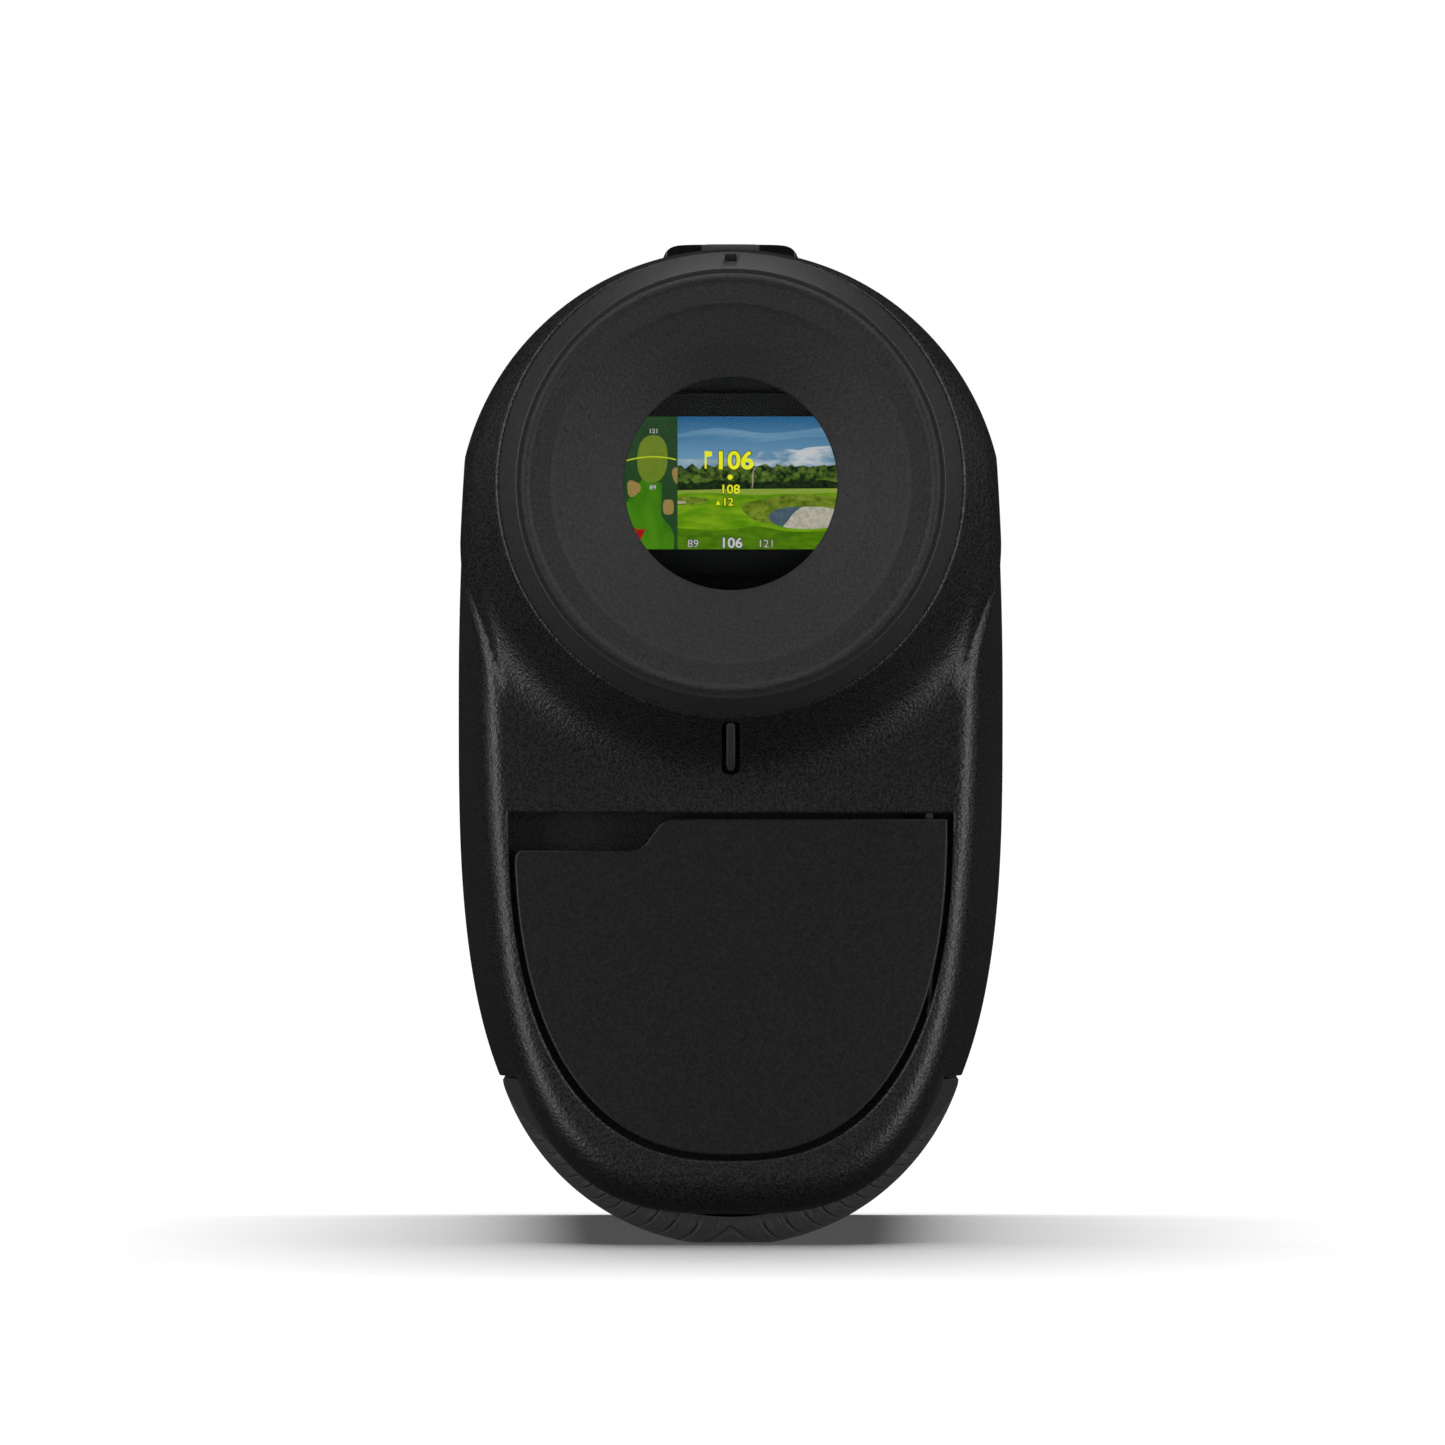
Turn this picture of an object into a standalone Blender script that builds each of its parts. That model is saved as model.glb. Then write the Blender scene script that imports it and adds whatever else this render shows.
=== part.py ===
"""A golf laser rangefinder, built as separate pieces.

Frame: metres, +Z up. The eyepiece looks towards -Y and the front lenses towards +Y. The belly grip
stands on z = 0, and the object is centred on x = 0 and y = 0. Numbers below are millimetres.
"""
import math

import bmesh
import bpy
import numpy as np
from mathutils import Matrix, Vector

MM = 0.001
GAP = 0.3                     # air between two fixed pieces that touch in the real object

# ---- body ----
REAR_Y = -50.0                # flat rear face
SEAM_Y = 0.0                  # where the two housings meet
FRONT_SHELL_Y = 52.0          # front end of the front housing
NOSE_Y = 61.0                 # front end of the bezel
BODY_HALF = 20.95
BODY_TOP = 76.0
BODY_LOW = 2.2
WAIST_Z = 41.0                # the lower outline is a superellipse below this height
LOW_POWER = 3.0
BARREL_Z = 42.0
BARREL_SPAN = 13.0
BARREL_DROP = 0.015
WALL = 1.8
RING_POINTS = 52
RAY_Z = 50.0                  # every outline is sampled along rays from (0, RAY_Z)

# ---- eyepiece ----
EYE_Z = 58.1
COLLAR_END_Y = -56.0
COLLAR_RADIUS = 17.9
COLLAR_SLOPE = 0.62
BORE_RADIUS = 15.6
EYECUP_Y = -61.0
RING_RADIUS = 17.6
APERTURE = 8.12
SLEEVE_OUT = 15.2
SLEEVE_IN = 13.4
BARREL_OUT = 13.1
BARREL_IN = 11.7
CELL_OUT = 11.5
CELL_IN = 9.2
PIN_RADIUS = 0.6
PIN_Y = -50.6
FOCUS_RATIO = 0.955           # lens travel for one radian of the diopter ring
FOCUS_LIMIT = math.radians(75)

# ---- port cover ----
COVER_HALF = 16.6
COVER_TOP = 32.5
COVER_DEPTH = 25.75
COVER_POWER = 2.4
COVER_GAP = 0.65
COVER_INNER_Y = -48.2
RECESS_Y = -47.9
HINGE_X = 15.2
HINGE_Y = -49.4
HINGE_PIN_RADIUS = 0.3
BAY_HALF = 6.0
BAY_LOW = 15.0
BAY_HIGH = 23.0

# ---- belly grip ----
GRIP_RADIUS = 18.55
GRIP_FLAT = 5.0               # half width of the flat stretch that it stands on
GRIP_Z = math.sqrt(GRIP_RADIUS ** 2 - GRIP_FLAT ** 2)
GRIP_INNER = 16.9
GRIP_INNER_Z = 18.9
GRIP_EDGE_Z = 13.5
GRIP_END_Y = 45.0

# ---- front optics: height, tube outer radius, tube wall ----
CAMERA_Z = 56.2
CAMERA_RADIUS = 9.4
EMITTER_Z = 41.0
EMITTER_RADIUS = 4.6
RECEIVER_Z = 24.5
RECEIVER_RADIUS = 10.9
TUBE_WALL = 1.0
TUBE_END_Y = 56.0

# ---- keys ----
PANEL_START_Y = 3.0
PANEL_END_Y = 46.0
PANEL_BASE_Z = 75.15
PANEL_TOP_Z = 76.9
KEY_TOP_Z = 77.0
KEY_HALF = 2.2
RANGE_KEY_Y = 33.0
RANGE_KEY_HALF = 7.0
MODE_KEY_Y = 17.0
MODE_KEY_HALF = 5.0
KEYS = ((RANGE_KEY_Y, RANGE_KEY_HALF), (MODE_KEY_Y, MODE_KEY_HALF))

# ---- screws, as (x, z) ----
SCREW_PLACES = ((-15.9, 61.0), (15.9, 61.0), (-16.4, 25.0), (16.4, 25.0))
CHASSIS_SCREW_X = 15.0
CHASSIS_SCREW_Z = 43.0


# ---------------------------------------------------------------- helpers
def clear_scene():
    for item in list(bpy.data.objects):
        bpy.data.objects.remove(item, do_unlink=True)


def material(name, colour, roughness, metallic=0.0, transmission=0.0):
    made = bpy.data.materials.new(name)
    made.use_nodes = True
    made.diffuse_color = (*colour, 1.0)
    shader = made.node_tree.nodes["Principled BSDF"]
    shader.inputs["Base Color"].default_value = (*colour, 1.0)
    shader.inputs["Roughness"].default_value = roughness
    shader.inputs["Metallic"].default_value = metallic
    shader.inputs["Transmission Weight"].default_value = transmission
    return made


def new_object(name, shape, origin=(0.0, 0.0, 0.0)):
    """Turn a bmesh in millimetres into an object in metres with its origin at origin."""
    bmesh.ops.remove_doubles(shape, verts=shape.verts, dist=0.0001)
    bmesh.ops.recalc_face_normals(shape, faces=shape.faces)
    bmesh.ops.translate(shape, verts=shape.verts, vec=-Vector(origin))
    bmesh.ops.scale(shape, verts=shape.verts, vec=(MM, MM, MM))
    mesh = bpy.data.meshes.new(name)
    shape.to_mesh(mesh)
    shape.free()
    made = bpy.data.objects.new(name, mesh)
    made.location = Vector(origin) * MM
    bpy.context.scene.collection.objects.link(made)
    return made


def piece(name, shape, finish, origin=(0.0, 0.0, 0.0)):
    """A sub-part: its own object and its own material, round faces shaded smooth."""
    made = new_object(name, shape, origin)
    colour, roughness, metallic = finish[:3]
    clear = finish[3] if len(finish) > 3 else 0.0
    made.data.materials.append(material(name, colour, roughness, metallic, clear))
    made.data.shade_smooth()
    made.data.set_sharp_from_angle(angle=math.radians(35))
    return made


def combine(target, shape, operation):
    """Join a shape to the target or cut it away, with a Boolean on a hidden helper object."""
    helper = new_object(f"{target.name}.{operation.lower()}.{len(target.modifiers)}", shape)
    helper.hide_render = True
    helper.display_type = "WIRE"
    boolean = target.modifiers.new(helper.name, "BOOLEAN")
    boolean.operation = operation
    boolean.solver = "EXACT"
    boolean.object = helper


def cut(target, shape):
    combine(target, shape, "DIFFERENCE")


def join(target, shape):
    combine(target, shape, "UNION")


def along_axis(axis, u, v, w):
    """A point from its two cross coordinates u, v and its place w along the axis."""
    if axis == "X":
        return Vector((w, u, v))
    if axis == "Y":
        return Vector((u, w, v))
    return Vector((u, v, w))


def stack(rings, closed=False):
    """Skin a row of equal rings; the ends get caps, or meet each other when closed."""
    shape = bmesh.new()
    rows = [[shape.verts.new(point) for point in ring] for ring in rings]
    count = len(rows[0])
    pairs = list(zip(rows, rows[1:]))
    if closed:
        pairs.append((rows[-1], rows[0]))
    for low, high in pairs:
        for i in range(count):
            j = (i + 1) % count
            shape.faces.new((low[i], low[j], high[j], high[i]))
    if not closed:
        shape.faces.new(rows[0][::-1])
        shape.faces.new(rows[-1])
    return shape


def turned(profile, axis="Y", centre=(0.0, 0.0), steps=32, closed=True):
    """Turn a profile of (place along the axis, radius) points round the axis."""
    rings = []
    for place, radius in profile:
        angles = (2 * math.pi * i / steps for i in range(steps))
        rings.append([along_axis(axis, centre[0] + radius * math.cos(a),
                                 centre[1] + radius * math.sin(a), place) for a in angles])
    return stack(rings, closed)


def rod(start, end, radius, axis="Y", centre=(0.0, 0.0), steps=16):
    return turned([(start, radius), (end, radius)], axis, centre, steps, closed=False)


def tube(start, end, outer, inner, axis="Y", centre=(0.0, 0.0), steps=32):
    profile = [(start, inner), (start, outer), (end, outer), (end, inner)]
    return turned(profile, axis, centre, steps)


def prism(outline, start, end, axis="Y"):
    return stack([[along_axis(axis, u, v, w) for u, v in outline] for w in (start, end)])


def block(low, high, edge=0.0):
    """A box between two corners, with its edges rounded when edge is given."""
    outline = [(low[0], low[1]), (high[0], low[1]), (high[0], high[1]), (low[0], high[1])]
    shape = prism(outline, low[2], high[2], "Z")
    if edge:
        bmesh.ops.bevel(shape, geom=shape.edges[:], offset=edge, segments=2, affect="EDGES")
    return shape


def pill(half, half_length, centre, corner_steps=5):
    """A slot-shaped outline in the XY plane, long along Y."""
    straight = half_length - half
    points = []
    for turn, side in ((0.0, 1), (math.pi, -1)):
        for i in range(corner_steps + 1):
            a = turn + math.pi * i / corner_steps
            points.append((centre[0] + half * math.cos(a), centre[1] + side * straight + half * math.sin(a)))
    return points


def lens(rear_y, front_y, radius, bulge, centre, steps=24):
    """A lens with both faces curved outward by bulge."""
    profile = [(rear_y - bulge, 0.0), (rear_y - bulge * 0.75, radius * 0.5), (rear_y, radius),
               (front_y, radius), (front_y + bulge * 0.75, radius * 0.5), (front_y + bulge, 0.0)]
    return turned(profile, "Y", centre, steps, closed=False)


def screw(centre, head_y, tip_y, head_radius=1.5, shank_radius=0.8):
    """A screw along Y whose head seats at head_y, with a cross recess in the head."""
    away = 1.0 if head_y > tip_y else -1.0
    profile = [(head_y + 1.3 * away, 0.0), (head_y + 1.3 * away, head_radius * 0.8),
               (head_y + 0.9 * away, head_radius), (head_y, head_radius), (head_y, shank_radius),
               (tip_y + 0.5 * away, shank_radius), (tip_y, shank_radius * 0.5), (tip_y, 0.0)]
    return turned(profile, "Y", centre, 12, closed=False)


def cross_recess(target, centre, face_y):
    for half_x, half_z in ((0.7, 0.2), (0.2, 0.7)):
        low = (centre[0] - half_x, face_y - 0.5, centre[1] - half_z)
        cut(target, block(low, (centre[0] + half_x, face_y + 0.5, centre[1] + half_z)))


# ---------------------------------------------------------------- body outline
def body_size(y, inset=0.0):
    """Half width, top and bottom of the body at y; both ends are rolled over."""
    rear = min(max((y - REAR_Y) / 28.0, 0.0), 1.0)
    nose = min(max((NOSE_Y - y) / 24.0, 0.0), 1.0)
    rear_roll = 1.0 - math.sqrt(1.0 - (1.0 - rear) ** 2)
    nose_roll = 1.0 - math.sqrt(1.0 - (1.0 - nose) ** 2)
    half = BODY_HALF - 1.75 * rear_roll - 2.2 * nose_roll - inset
    top = BODY_TOP - 1.5 * rear_roll - 2.6 * nose_roll - inset
    low = BODY_LOW + 3.0 * rear_roll + 4.0 * nose_roll + inset
    return half, top, low


def outline_value(x, z, half, top, low):
    """Below 1 inside the outline: round top, slightly barrelled sides, superellipse below."""
    arc_z = top - half
    upper = np.hypot(x, np.maximum(z - arc_z, 0.0)) / half
    drop = BARREL_DROP * (np.maximum(z - BARREL_Z, 0.0) / BARREL_SPAN) ** 2
    sides = np.abs(x) / (half * (1.0 - drop))
    depth = np.maximum(WAIST_Z - z, 0.0) / (WAIST_Z - low)
    lower = (np.abs(x / half) ** LOW_POWER + depth ** LOW_POWER) ** (1.0 / LOW_POWER)
    return np.maximum(np.maximum(upper, sides), lower)


def belly_room_value(x, z, inset=WALL):
    """Below 1 where a point stays clear of the belly grip by inset."""
    narrow = GRIP_INNER - GAP - inset
    width = narrow + 1.2 * np.maximum(z - GRIP_INNER_Z, 0.0)
    below = np.hypot(x, z - GRIP_INNER_Z) / narrow
    return np.where(z < GRIP_INNER_Z, below, np.abs(x) / width)


def ray_lengths(angles, value):
    """How far each ray from (0, RAY_Z) goes before value reaches 1."""
    near = np.zeros_like(angles)
    far = np.full_like(angles, 70.0)
    for _ in range(40):
        middle = (near + far) / 2
        inside = value(middle * np.sin(angles), RAY_Z - middle * np.cos(angles)) < 1.0
        near = np.where(inside, middle, near)
        far = np.where(inside, far, middle)
    return near


def even_angles(count):
    """Ray angles that space the points evenly along the widest outline."""
    fine = np.linspace(0.0, 2 * math.pi, 721)
    reach = ray_lengths(fine, lambda x, z: outline_value(x, z, BODY_HALF, BODY_TOP, BODY_LOW))
    steps = np.hypot(np.diff(reach * np.sin(fine)), np.diff(reach * np.cos(fine)))
    walked = np.concatenate(([0.0], np.cumsum(steps)))
    return np.interp(np.arange(count) * walked[-1] / count, walked, fine)


ANGLES = even_angles(RING_POINTS)


def ring_at(y, reach):
    return [Vector((r * math.sin(a), y, RAY_Z - r * math.cos(a))) for a, r in zip(ANGLES, reach)]


def body_reach(y, inset=0.0):
    size = body_size(y, inset)
    return ray_lengths(ANGLES, lambda x, z: outline_value(x, z, *size))


def inside_reach(y, inset=WALL):
    size = body_size(y, inset)
    return ray_lengths(ANGLES, lambda x, z: np.maximum(outline_value(x, z, *size),
                                                       belly_room_value(x, z, inset)))


def circle_reach(radius, centre_z):
    return ray_lengths(ANGLES, lambda x, z: np.hypot(x, z - centre_z) / radius)


def collar_reach(y):
    """The cone round the eyepiece, kept inside the body's greatest outline."""
    radius = min(COLLAR_RADIUS + COLLAR_SLOPE * (y - COLLAR_END_Y), 22.3 - 0.2 * max(y - REAR_Y, 0.0))
    limit = ray_lengths(ANGLES, lambda x, z: outline_value(x, z, BODY_HALF, BODY_TOP, BODY_LOW))
    return np.minimum(circle_reach(radius, EYE_Z), limit)


def cover_outline(half, top, depth, power, steps=28):
    """A D: straight top, and a superellipse from one top corner round the bottom to the other."""
    points = []
    for i in range(steps + 1):
        a = math.pi * i / steps
        x = half * math.copysign(abs(math.cos(a)) ** (2.0 / power), math.cos(a))
        points.append((x, top - depth * math.sin(a) ** (2.0 / power)))
    return points


def grip_section(y, trim=0.0, grow=0.0):
    """The crescent of the belly grip at y, flat where it stands; trim thins its outer side."""
    outer = GRIP_RADIUS - trim + 4.0 * grow
    inner = GRIP_INNER - grow
    edge = GRIP_EDGE_Z + grow
    outer_turn = math.acos((GRIP_Z - edge) / outer)
    inner_turn = math.acos((GRIP_INNER_Z - edge) / inner)
    points = []
    for i in range(19):
        a = outer_turn * (1 - i / 9.0)
        z = GRIP_Z - outer * math.cos(a)
        points.append(Vector((outer * math.sin(a), y, z if grow else max(z, 0.0))))
    for i in range(19):
        a = inner_turn * (i / 9.0 - 1)
        points.append(Vector((inner * math.sin(a), y, GRIP_INNER_Z - inner * math.cos(a))))
    return points


# ---------------------------------------------------------------- colours: colour, roughness, metallic
SHELL = ((0.030, 0.031, 0.033), 0.55, 0.0)
RUBBER = ((0.028, 0.028, 0.029), 0.80, 0.0)
GLOSS = ((0.012, 0.012, 0.013), 0.15, 0.0)
BLACK = ((0.020, 0.020, 0.021), 0.60, 0.0)
GLASS = ((0.80, 0.86, 0.88), 0.05, 0.0, 0.9)
COATED = ((0.35, 0.30, 0.50), 0.05, 0.0, 0.8)
STEEL = ((0.55, 0.55, 0.56), 0.30, 1.0)
BRASS = ((0.70, 0.52, 0.25), 0.30, 1.0)
BOARD = ((0.02, 0.10, 0.05), 0.50, 0.0)
CHIP = ((0.03, 0.03, 0.035), 0.40, 0.0)
FOIL = ((0.45, 0.47, 0.50), 0.35, 0.0)
FRAME = ((0.10, 0.10, 0.11), 0.55, 0.0)


# ---------------------------------------------------------------- shells
def build_rear_housing():
    stations = (-49.4, -48.0, -45.5, -41.0, -35.0, -28.0, -20.0, -10.0, SEAM_Y)
    rings = [ring_at(COLLAR_END_Y, circle_reach(BORE_RADIUS, EYE_Z))]
    rings += [ring_at(y, collar_reach(y)) for y in (COLLAR_END_Y, -53.0, REAR_Y)]
    rings += [ring_at(y, np.maximum(body_reach(y), collar_reach(y))) for y in (REAR_Y, *stations)]
    rings += [ring_at(y, inside_reach(y)) for y in (SEAM_Y, -20.0, -36.0, -46.0)]
    rings.append(ring_at(-46.0, circle_reach(BORE_RADIUS, EYE_Z)))
    housing = piece("rear_housing", stack(rings, closed=True), SHELL)

    join(housing, block((-7.2, -46.5, 13.6), (7.2, -34.5, 24.4)))
    for x, z in SCREW_PLACES:
        join(housing, rod(-9.0, SEAM_Y, 2.6, centre=(x, z), steps=12))
        cut(housing, rod(-7.5, 1.0, 0.95, centre=(x, z), steps=12))
    recess = cover_outline(COVER_HALF + COVER_GAP, COVER_TOP + 0.55, COVER_DEPTH + 1.15, COVER_POWER + 0.16)
    cut(housing, prism(recess, -51.0, RECESS_Y))
    cut(housing, block((13.2, -48.5, 20.0), (17.2, -47.2, COVER_TOP + 0.5)))
    cut(housing, block((-BAY_HALF, -48.5, BAY_LOW), (BAY_HALF, -41.5, BAY_HIGH)))
    cut(housing, block((-4.85, -42.0, 17.0), (4.85, -34.0, 21.0)))
    cut(housing, rod(15.8, 34.7, HINGE_PIN_RADIUS + 0.08, "Z", (HINGE_X, HINGE_Y), 12))
    cut(housing, block((-0.625, -57.0, 35.96), (0.625, -44.0, 40.06)))
    belly = [grip_section(y, grow=GAP) for y in (-GRIP_END_Y - GAP, 5.0)]
    cut(housing, stack(belly))
    return housing


def build_front_housing():
    stations = (0.3, 1.3, 20.0, 40.0, 46.0, FRONT_SHELL_Y)
    rings = [ring_at(0.3, inside_reach(0.3, 1.4)), ring_at(1.3, inside_reach(1.3, 1.4))]
    rings += [ring_at(1.3, inside_reach(1.3, 0.4)), ring_at(0.3, inside_reach(0.3, 0.4))]
    rings += [ring_at(y, body_reach(y)) for y in stations]
    rings += [ring_at(y, inside_reach(y)) for y in (FRONT_SHELL_Y, 40.0, 20.0, 0.3)]
    housing = piece("front_housing", stack(rings, closed=True), SHELL)
    for x, z in SCREW_PLACES:
        join(housing, rod(1.6, 6.0, 2.6, centre=(x, z), steps=12))
        cut(housing, rod(0.0, 7.0, 1.0, centre=(x, z), steps=12))
    for side in (-1, 1):
        inner, outer = sorted((side * (CHASSIS_SCREW_X - 2.2), side * 19.9))
        join(housing, block((inner, 25.3, CHASSIS_SCREW_Z - 2.2), (outer, 32.0, CHASSIS_SCREW_Z + 2.2)))
        cut(housing, rod(24.0, 30.0, 0.95, centre=(side * CHASSIS_SCREW_X, CHASSIS_SCREW_Z), steps=12))
    low = (-5.75, PANEL_START_Y - 0.3, 74.9)
    cut(housing, block(low, (5.75, PANEL_END_Y + 0.3, 79.0)))
    for y in (RANGE_KEY_Y, MODE_KEY_Y):
        cut(housing, rod(72.0, 76.0, 1.5, "Z", (0.0, y), 12))
    belly = [grip_section(y, grow=GAP) for y in (-5.0, GRIP_END_Y + GAP)]
    cut(housing, stack(belly))
    return housing


def build_housing_seal():
    corners = ((0.1, 1.2), (0.1, 0.6), (1.1, 0.6), (1.1, 1.2))
    rings = [ring_at(y, inside_reach(y, inset)) for y, inset in corners]
    piece("housing_seal", stack(rings, closed=True), RUBBER)


def build_front_bezel():
    """The bezel narrows to the nose and holds the window in a stepped, slot-shaped opening."""
    stations = (FRONT_SHELL_Y + GAP, 55.0, 58.0, 60.0, NOSE_Y)
    bezel = piece("front_bezel", stack([ring_at(y, body_reach(y)) for y in stations]), GLOSS)
    opening = pill_up(12.0, 29.5)
    seat = pill_up(13.3, 30.8)
    cut(bezel, prism(opening, 50.0, 63.0))
    cut(bezel, prism(seat, 50.0, 58.8))
    piece("front_window", prism(pill_up(13.0, 30.5), 57.3, 58.5), GLASS)


def pill_up(half, half_height):
    """An upright slot outline in the XZ plane round the middle of the three lenses."""
    return [(v, u + 41.0) for u, v in [(y, x) for x, y in pill(half, half_height, (0.0, 0.0), 8)]]


def build_belly_grip():
    ends = ((0.0, 0.9), (1.2, 0.25), (3.0, 0.0))
    rear = [grip_section(-GRIP_END_Y + step, trim) for step, trim in ends]
    front = [grip_section(GRIP_END_Y - step, trim) for step, trim in reversed(ends)]
    piece("belly_grip", stack(rear + front), RUBBER)


def build_key_panel():
    """A long faceted strip: sloping nose at the rear, straight body, blunt front end."""
    rings = []
    for y, top, half in ((PANEL_START_Y, 75.6, 3.3), (8.0, PANEL_TOP_Z, 3.9), (PANEL_END_Y, PANEL_TOP_Z, 3.9)):
        section = ((-5.4, PANEL_BASE_Z), (5.4, PANEL_BASE_Z), (5.4, 75.4), (half, top), (-half, top), (-5.4, 75.4))
        rings.append([Vector((x, y, z)) for x, z in section])
    panel = piece("top_key_panel", stack(rings), GLOSS)
    for y, half_length in KEYS:
        cut(panel, prism(pill(KEY_HALF + GAP, half_length + GAP, (0.0, y)), 74.0, 78.0, "Z"))


def build_light_pipe():
    outline = ((-55.0, 39.8), (-50.2, 36.1), (-43.8, 36.1), (-43.8, 39.8))
    shape = stack([[Vector((x, y, z)) for y, z in outline] for x in (-0.385, 0.385)])
    piece("status_light_pipe", shape, ((0.55, 0.56, 0.58), 0.35, 0.0))


# ---------------------------------------------------------------- eyepiece
def build_eyepiece():
    centre = (0.0, EYE_Z)
    profile = [(-57.0, SLEEVE_OUT), (-56.35, RING_RADIUS), (-57.3, RING_RADIUS + 0.2), (-59.7, 16.35),
               (-59.7, 15.7), (-57.3, 15.7), (-57.3, SLEEVE_IN), (-46.5, SLEEVE_IN), (-46.5, SLEEVE_OUT)]
    pivot = (0.0, -52.0, EYE_Z)
    ring = piece("diopter_ring", turned(profile, "Y", centre, 44), SHELL, pivot)
    for turn in (0.0, math.pi):
        cut(ring, cam_groove(turn))
    cut(ring, block((-0.5, -60.5, EYE_Z + 17.0), (0.5, -58.2, EYE_Z + 18.5)))

    cup = [(-57.6, 15.4), (-60.0, 15.4), (-60.0, 16.0), (-60.6, 16.05), (EYECUP_Y, 15.75), (-60.75, 15.3),
           (-60.3, 13.5), (-58.0, APERTURE + 0.15), (-57.6, APERTURE)]
    piece("eyecup", turned(cup, "Y", centre, 44), RUBBER, pivot)

    barrel_profile = [(-57.0, BARREL_IN), (-57.0, BARREL_OUT), (-54.6, BARREL_OUT), (-54.6, 12.3),
                      (-53.4, 12.3), (-53.4, BARREL_OUT), (-41.4, BARREL_OUT), (-41.4, BARREL_IN)]
    barrel = piece("eyepiece_barrel", turned(barrel_profile, "Y", centre, 40), BLACK)
    for low_x, high_x, low_z, high_z in ((12.4, 16.7, -4.0, 4.0), (-16.7, -12.4, -4.0, 4.0),
                                         (-4.0, 4.0, -16.7, -12.4)):
        join(barrel, block((low_x, -45.7, EYE_Z + low_z), (high_x, -44.3, EYE_Z + high_z)))
    for side in (-1, 1):
        slot = pill(PIN_RADIUS + 0.2, PIN_RADIUS + 0.2 + 1.35, (EYE_Z, PIN_Y), 4)
        outline = [(y, z) for z, y in slot]
        cut(barrel, prism(outline, side * 11.0, side * 14.0, "X"))

    o_ring = [(-54.0 + 0.4 * math.cos(a), 12.82 + 0.4 * math.sin(a)) for a in
              (2 * math.pi * i / 8 for i in range(8))]
    piece("focus_o_ring", turned(o_ring, "Y", centre, 28), RUBBER)

    rest = (0.0, PIN_Y, EYE_Z)
    cell_profile = [(-54.5, CELL_IN), (-54.5, CELL_OUT), (-46.4, CELL_OUT), (-46.4, 8.3), (-47.4, 8.3),
                    (-47.4, CELL_IN)]
    cell = piece("lens_cell", turned(cell_profile, "Y", centre, 36), BLACK, rest)
    for side in (-1, 1):
        cut(cell, rod(side * 10.2, side * 12.0, PIN_RADIUS + 0.12, "X", (PIN_Y, EYE_Z), 12))
    piece("eye_lens", lens(-51.4, -48.7, 8.95, 1.0, centre), GLASS, rest)
    retainer = [(-53.4, 8.3), (-53.4, 9.0), (-51.9, 9.0), (-51.9, 8.3)]
    piece("lens_retainer", turned(retainer, "Y", centre, 32), BLACK, rest)
    for name, side in (("cam_pin_right", 1), ("cam_pin_left", -1)):
        shape = rod(side * 10.4, side * 14.1, PIN_RADIUS, "X", (PIN_Y, EYE_Z), 12)
        piece(name, shape, STEEL, rest)


def cam_groove(turn):
    """A helical groove in the sleeve that moves its pin along Y as the ring turns."""
    rings = []
    reach = FOCUS_LIMIT + math.radians(5)
    for i in range(15):
        a = reach * (i / 7.0 - 1)
        middle = PIN_Y + FOCUS_RATIO * a
        ring = []
        for radius, half in ((SLEEVE_IN - 0.4, -0.8), (SLEEVE_IN - 0.4, 0.8), (14.4, 0.8), (14.4, -0.8)):
            x = radius * math.cos(a + turn)
            ring.append(Vector((x, middle + half, EYE_Z + radius * math.sin(a + turn))))
        rings.append(ring)
    return stack(rings)


def build_display():
    panel = block((-11.0, -40.9, EYE_Z - 7.0), (11.0, -39.7, EYE_Z + 7.0))
    piece("display_panel", panel, ((0.05, 0.12, 0.10), 0.15, 0.0))
    bracket = piece("display_bracket", block((-12.6, -41.1, EYE_Z - 8.6), (12.6, -38.2, EYE_Z + 8.6)), FRAME)
    cut(bracket, block((-11.3, -42.0, EYE_Z - 7.3), (11.3, -39.4, EYE_Z + 7.3)))
    cut(bracket, block((-4.6, -39.8, EYE_Z - 7.3), (4.6, -37.0, EYE_Z - 5.2)))
    route = ((-39.2, 52.6), (-37.4, 52.6), (-36.9, 52.0), (-36.9, 40.0), (-36.2, 38.4), (-34.0, 37.1),
             (-30.0, 36.7))
    half = 0.15
    near = [(y - half, z - half) for y, z in route]
    far = [(y + half, z + half) for y, z in reversed(route)]
    shape = stack([[Vector((x, y, z)) for y, z in near + far] for x in (-4.0, 4.0)])
    piece("display_flex", shape, ((0.45, 0.25, 0.05), 0.45, 0.0))


# ---------------------------------------------------------------- port cover and port
def build_port_cover():
    pivot = (HINGE_X, HINGE_Y, 24.0)
    outline = [(x, min(z, COVER_TOP - 2.4) if x < -7.6 else z) for x, z in
               cover_outline(COVER_HALF, COVER_TOP, COVER_DEPTH, COVER_POWER)]
    start = outline[-1]
    outline[-1] = (start[0] + 0.05, COVER_TOP - 2.4)
    outline += [(-7.6, COVER_TOP - 2.4), (-6.6, COVER_TOP - 2.05), (-5.5, COVER_TOP - 0.45), (-4.5, COVER_TOP)]
    cover = piece("port_cover", prism(outline, REAR_Y, COVER_INNER_Y), SHELL, pivot)
    cut(cover, rod(15.0, 36.0, HINGE_PIN_RADIUS + 0.12, "Z", (HINGE_X, HINGE_Y), 12))
    seal = block((-5.55, -47.9, BAY_LOW + 0.45), (5.55, -46.6, BAY_HIGH - 0.45))
    piece("port_cover_seal", seal, RUBBER, pivot)
    piece("cover_hinge_pin", rod(16.1, 34.4, HINGE_PIN_RADIUS, "Z", (HINGE_X, HINGE_Y), 12), STEEL)


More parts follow.
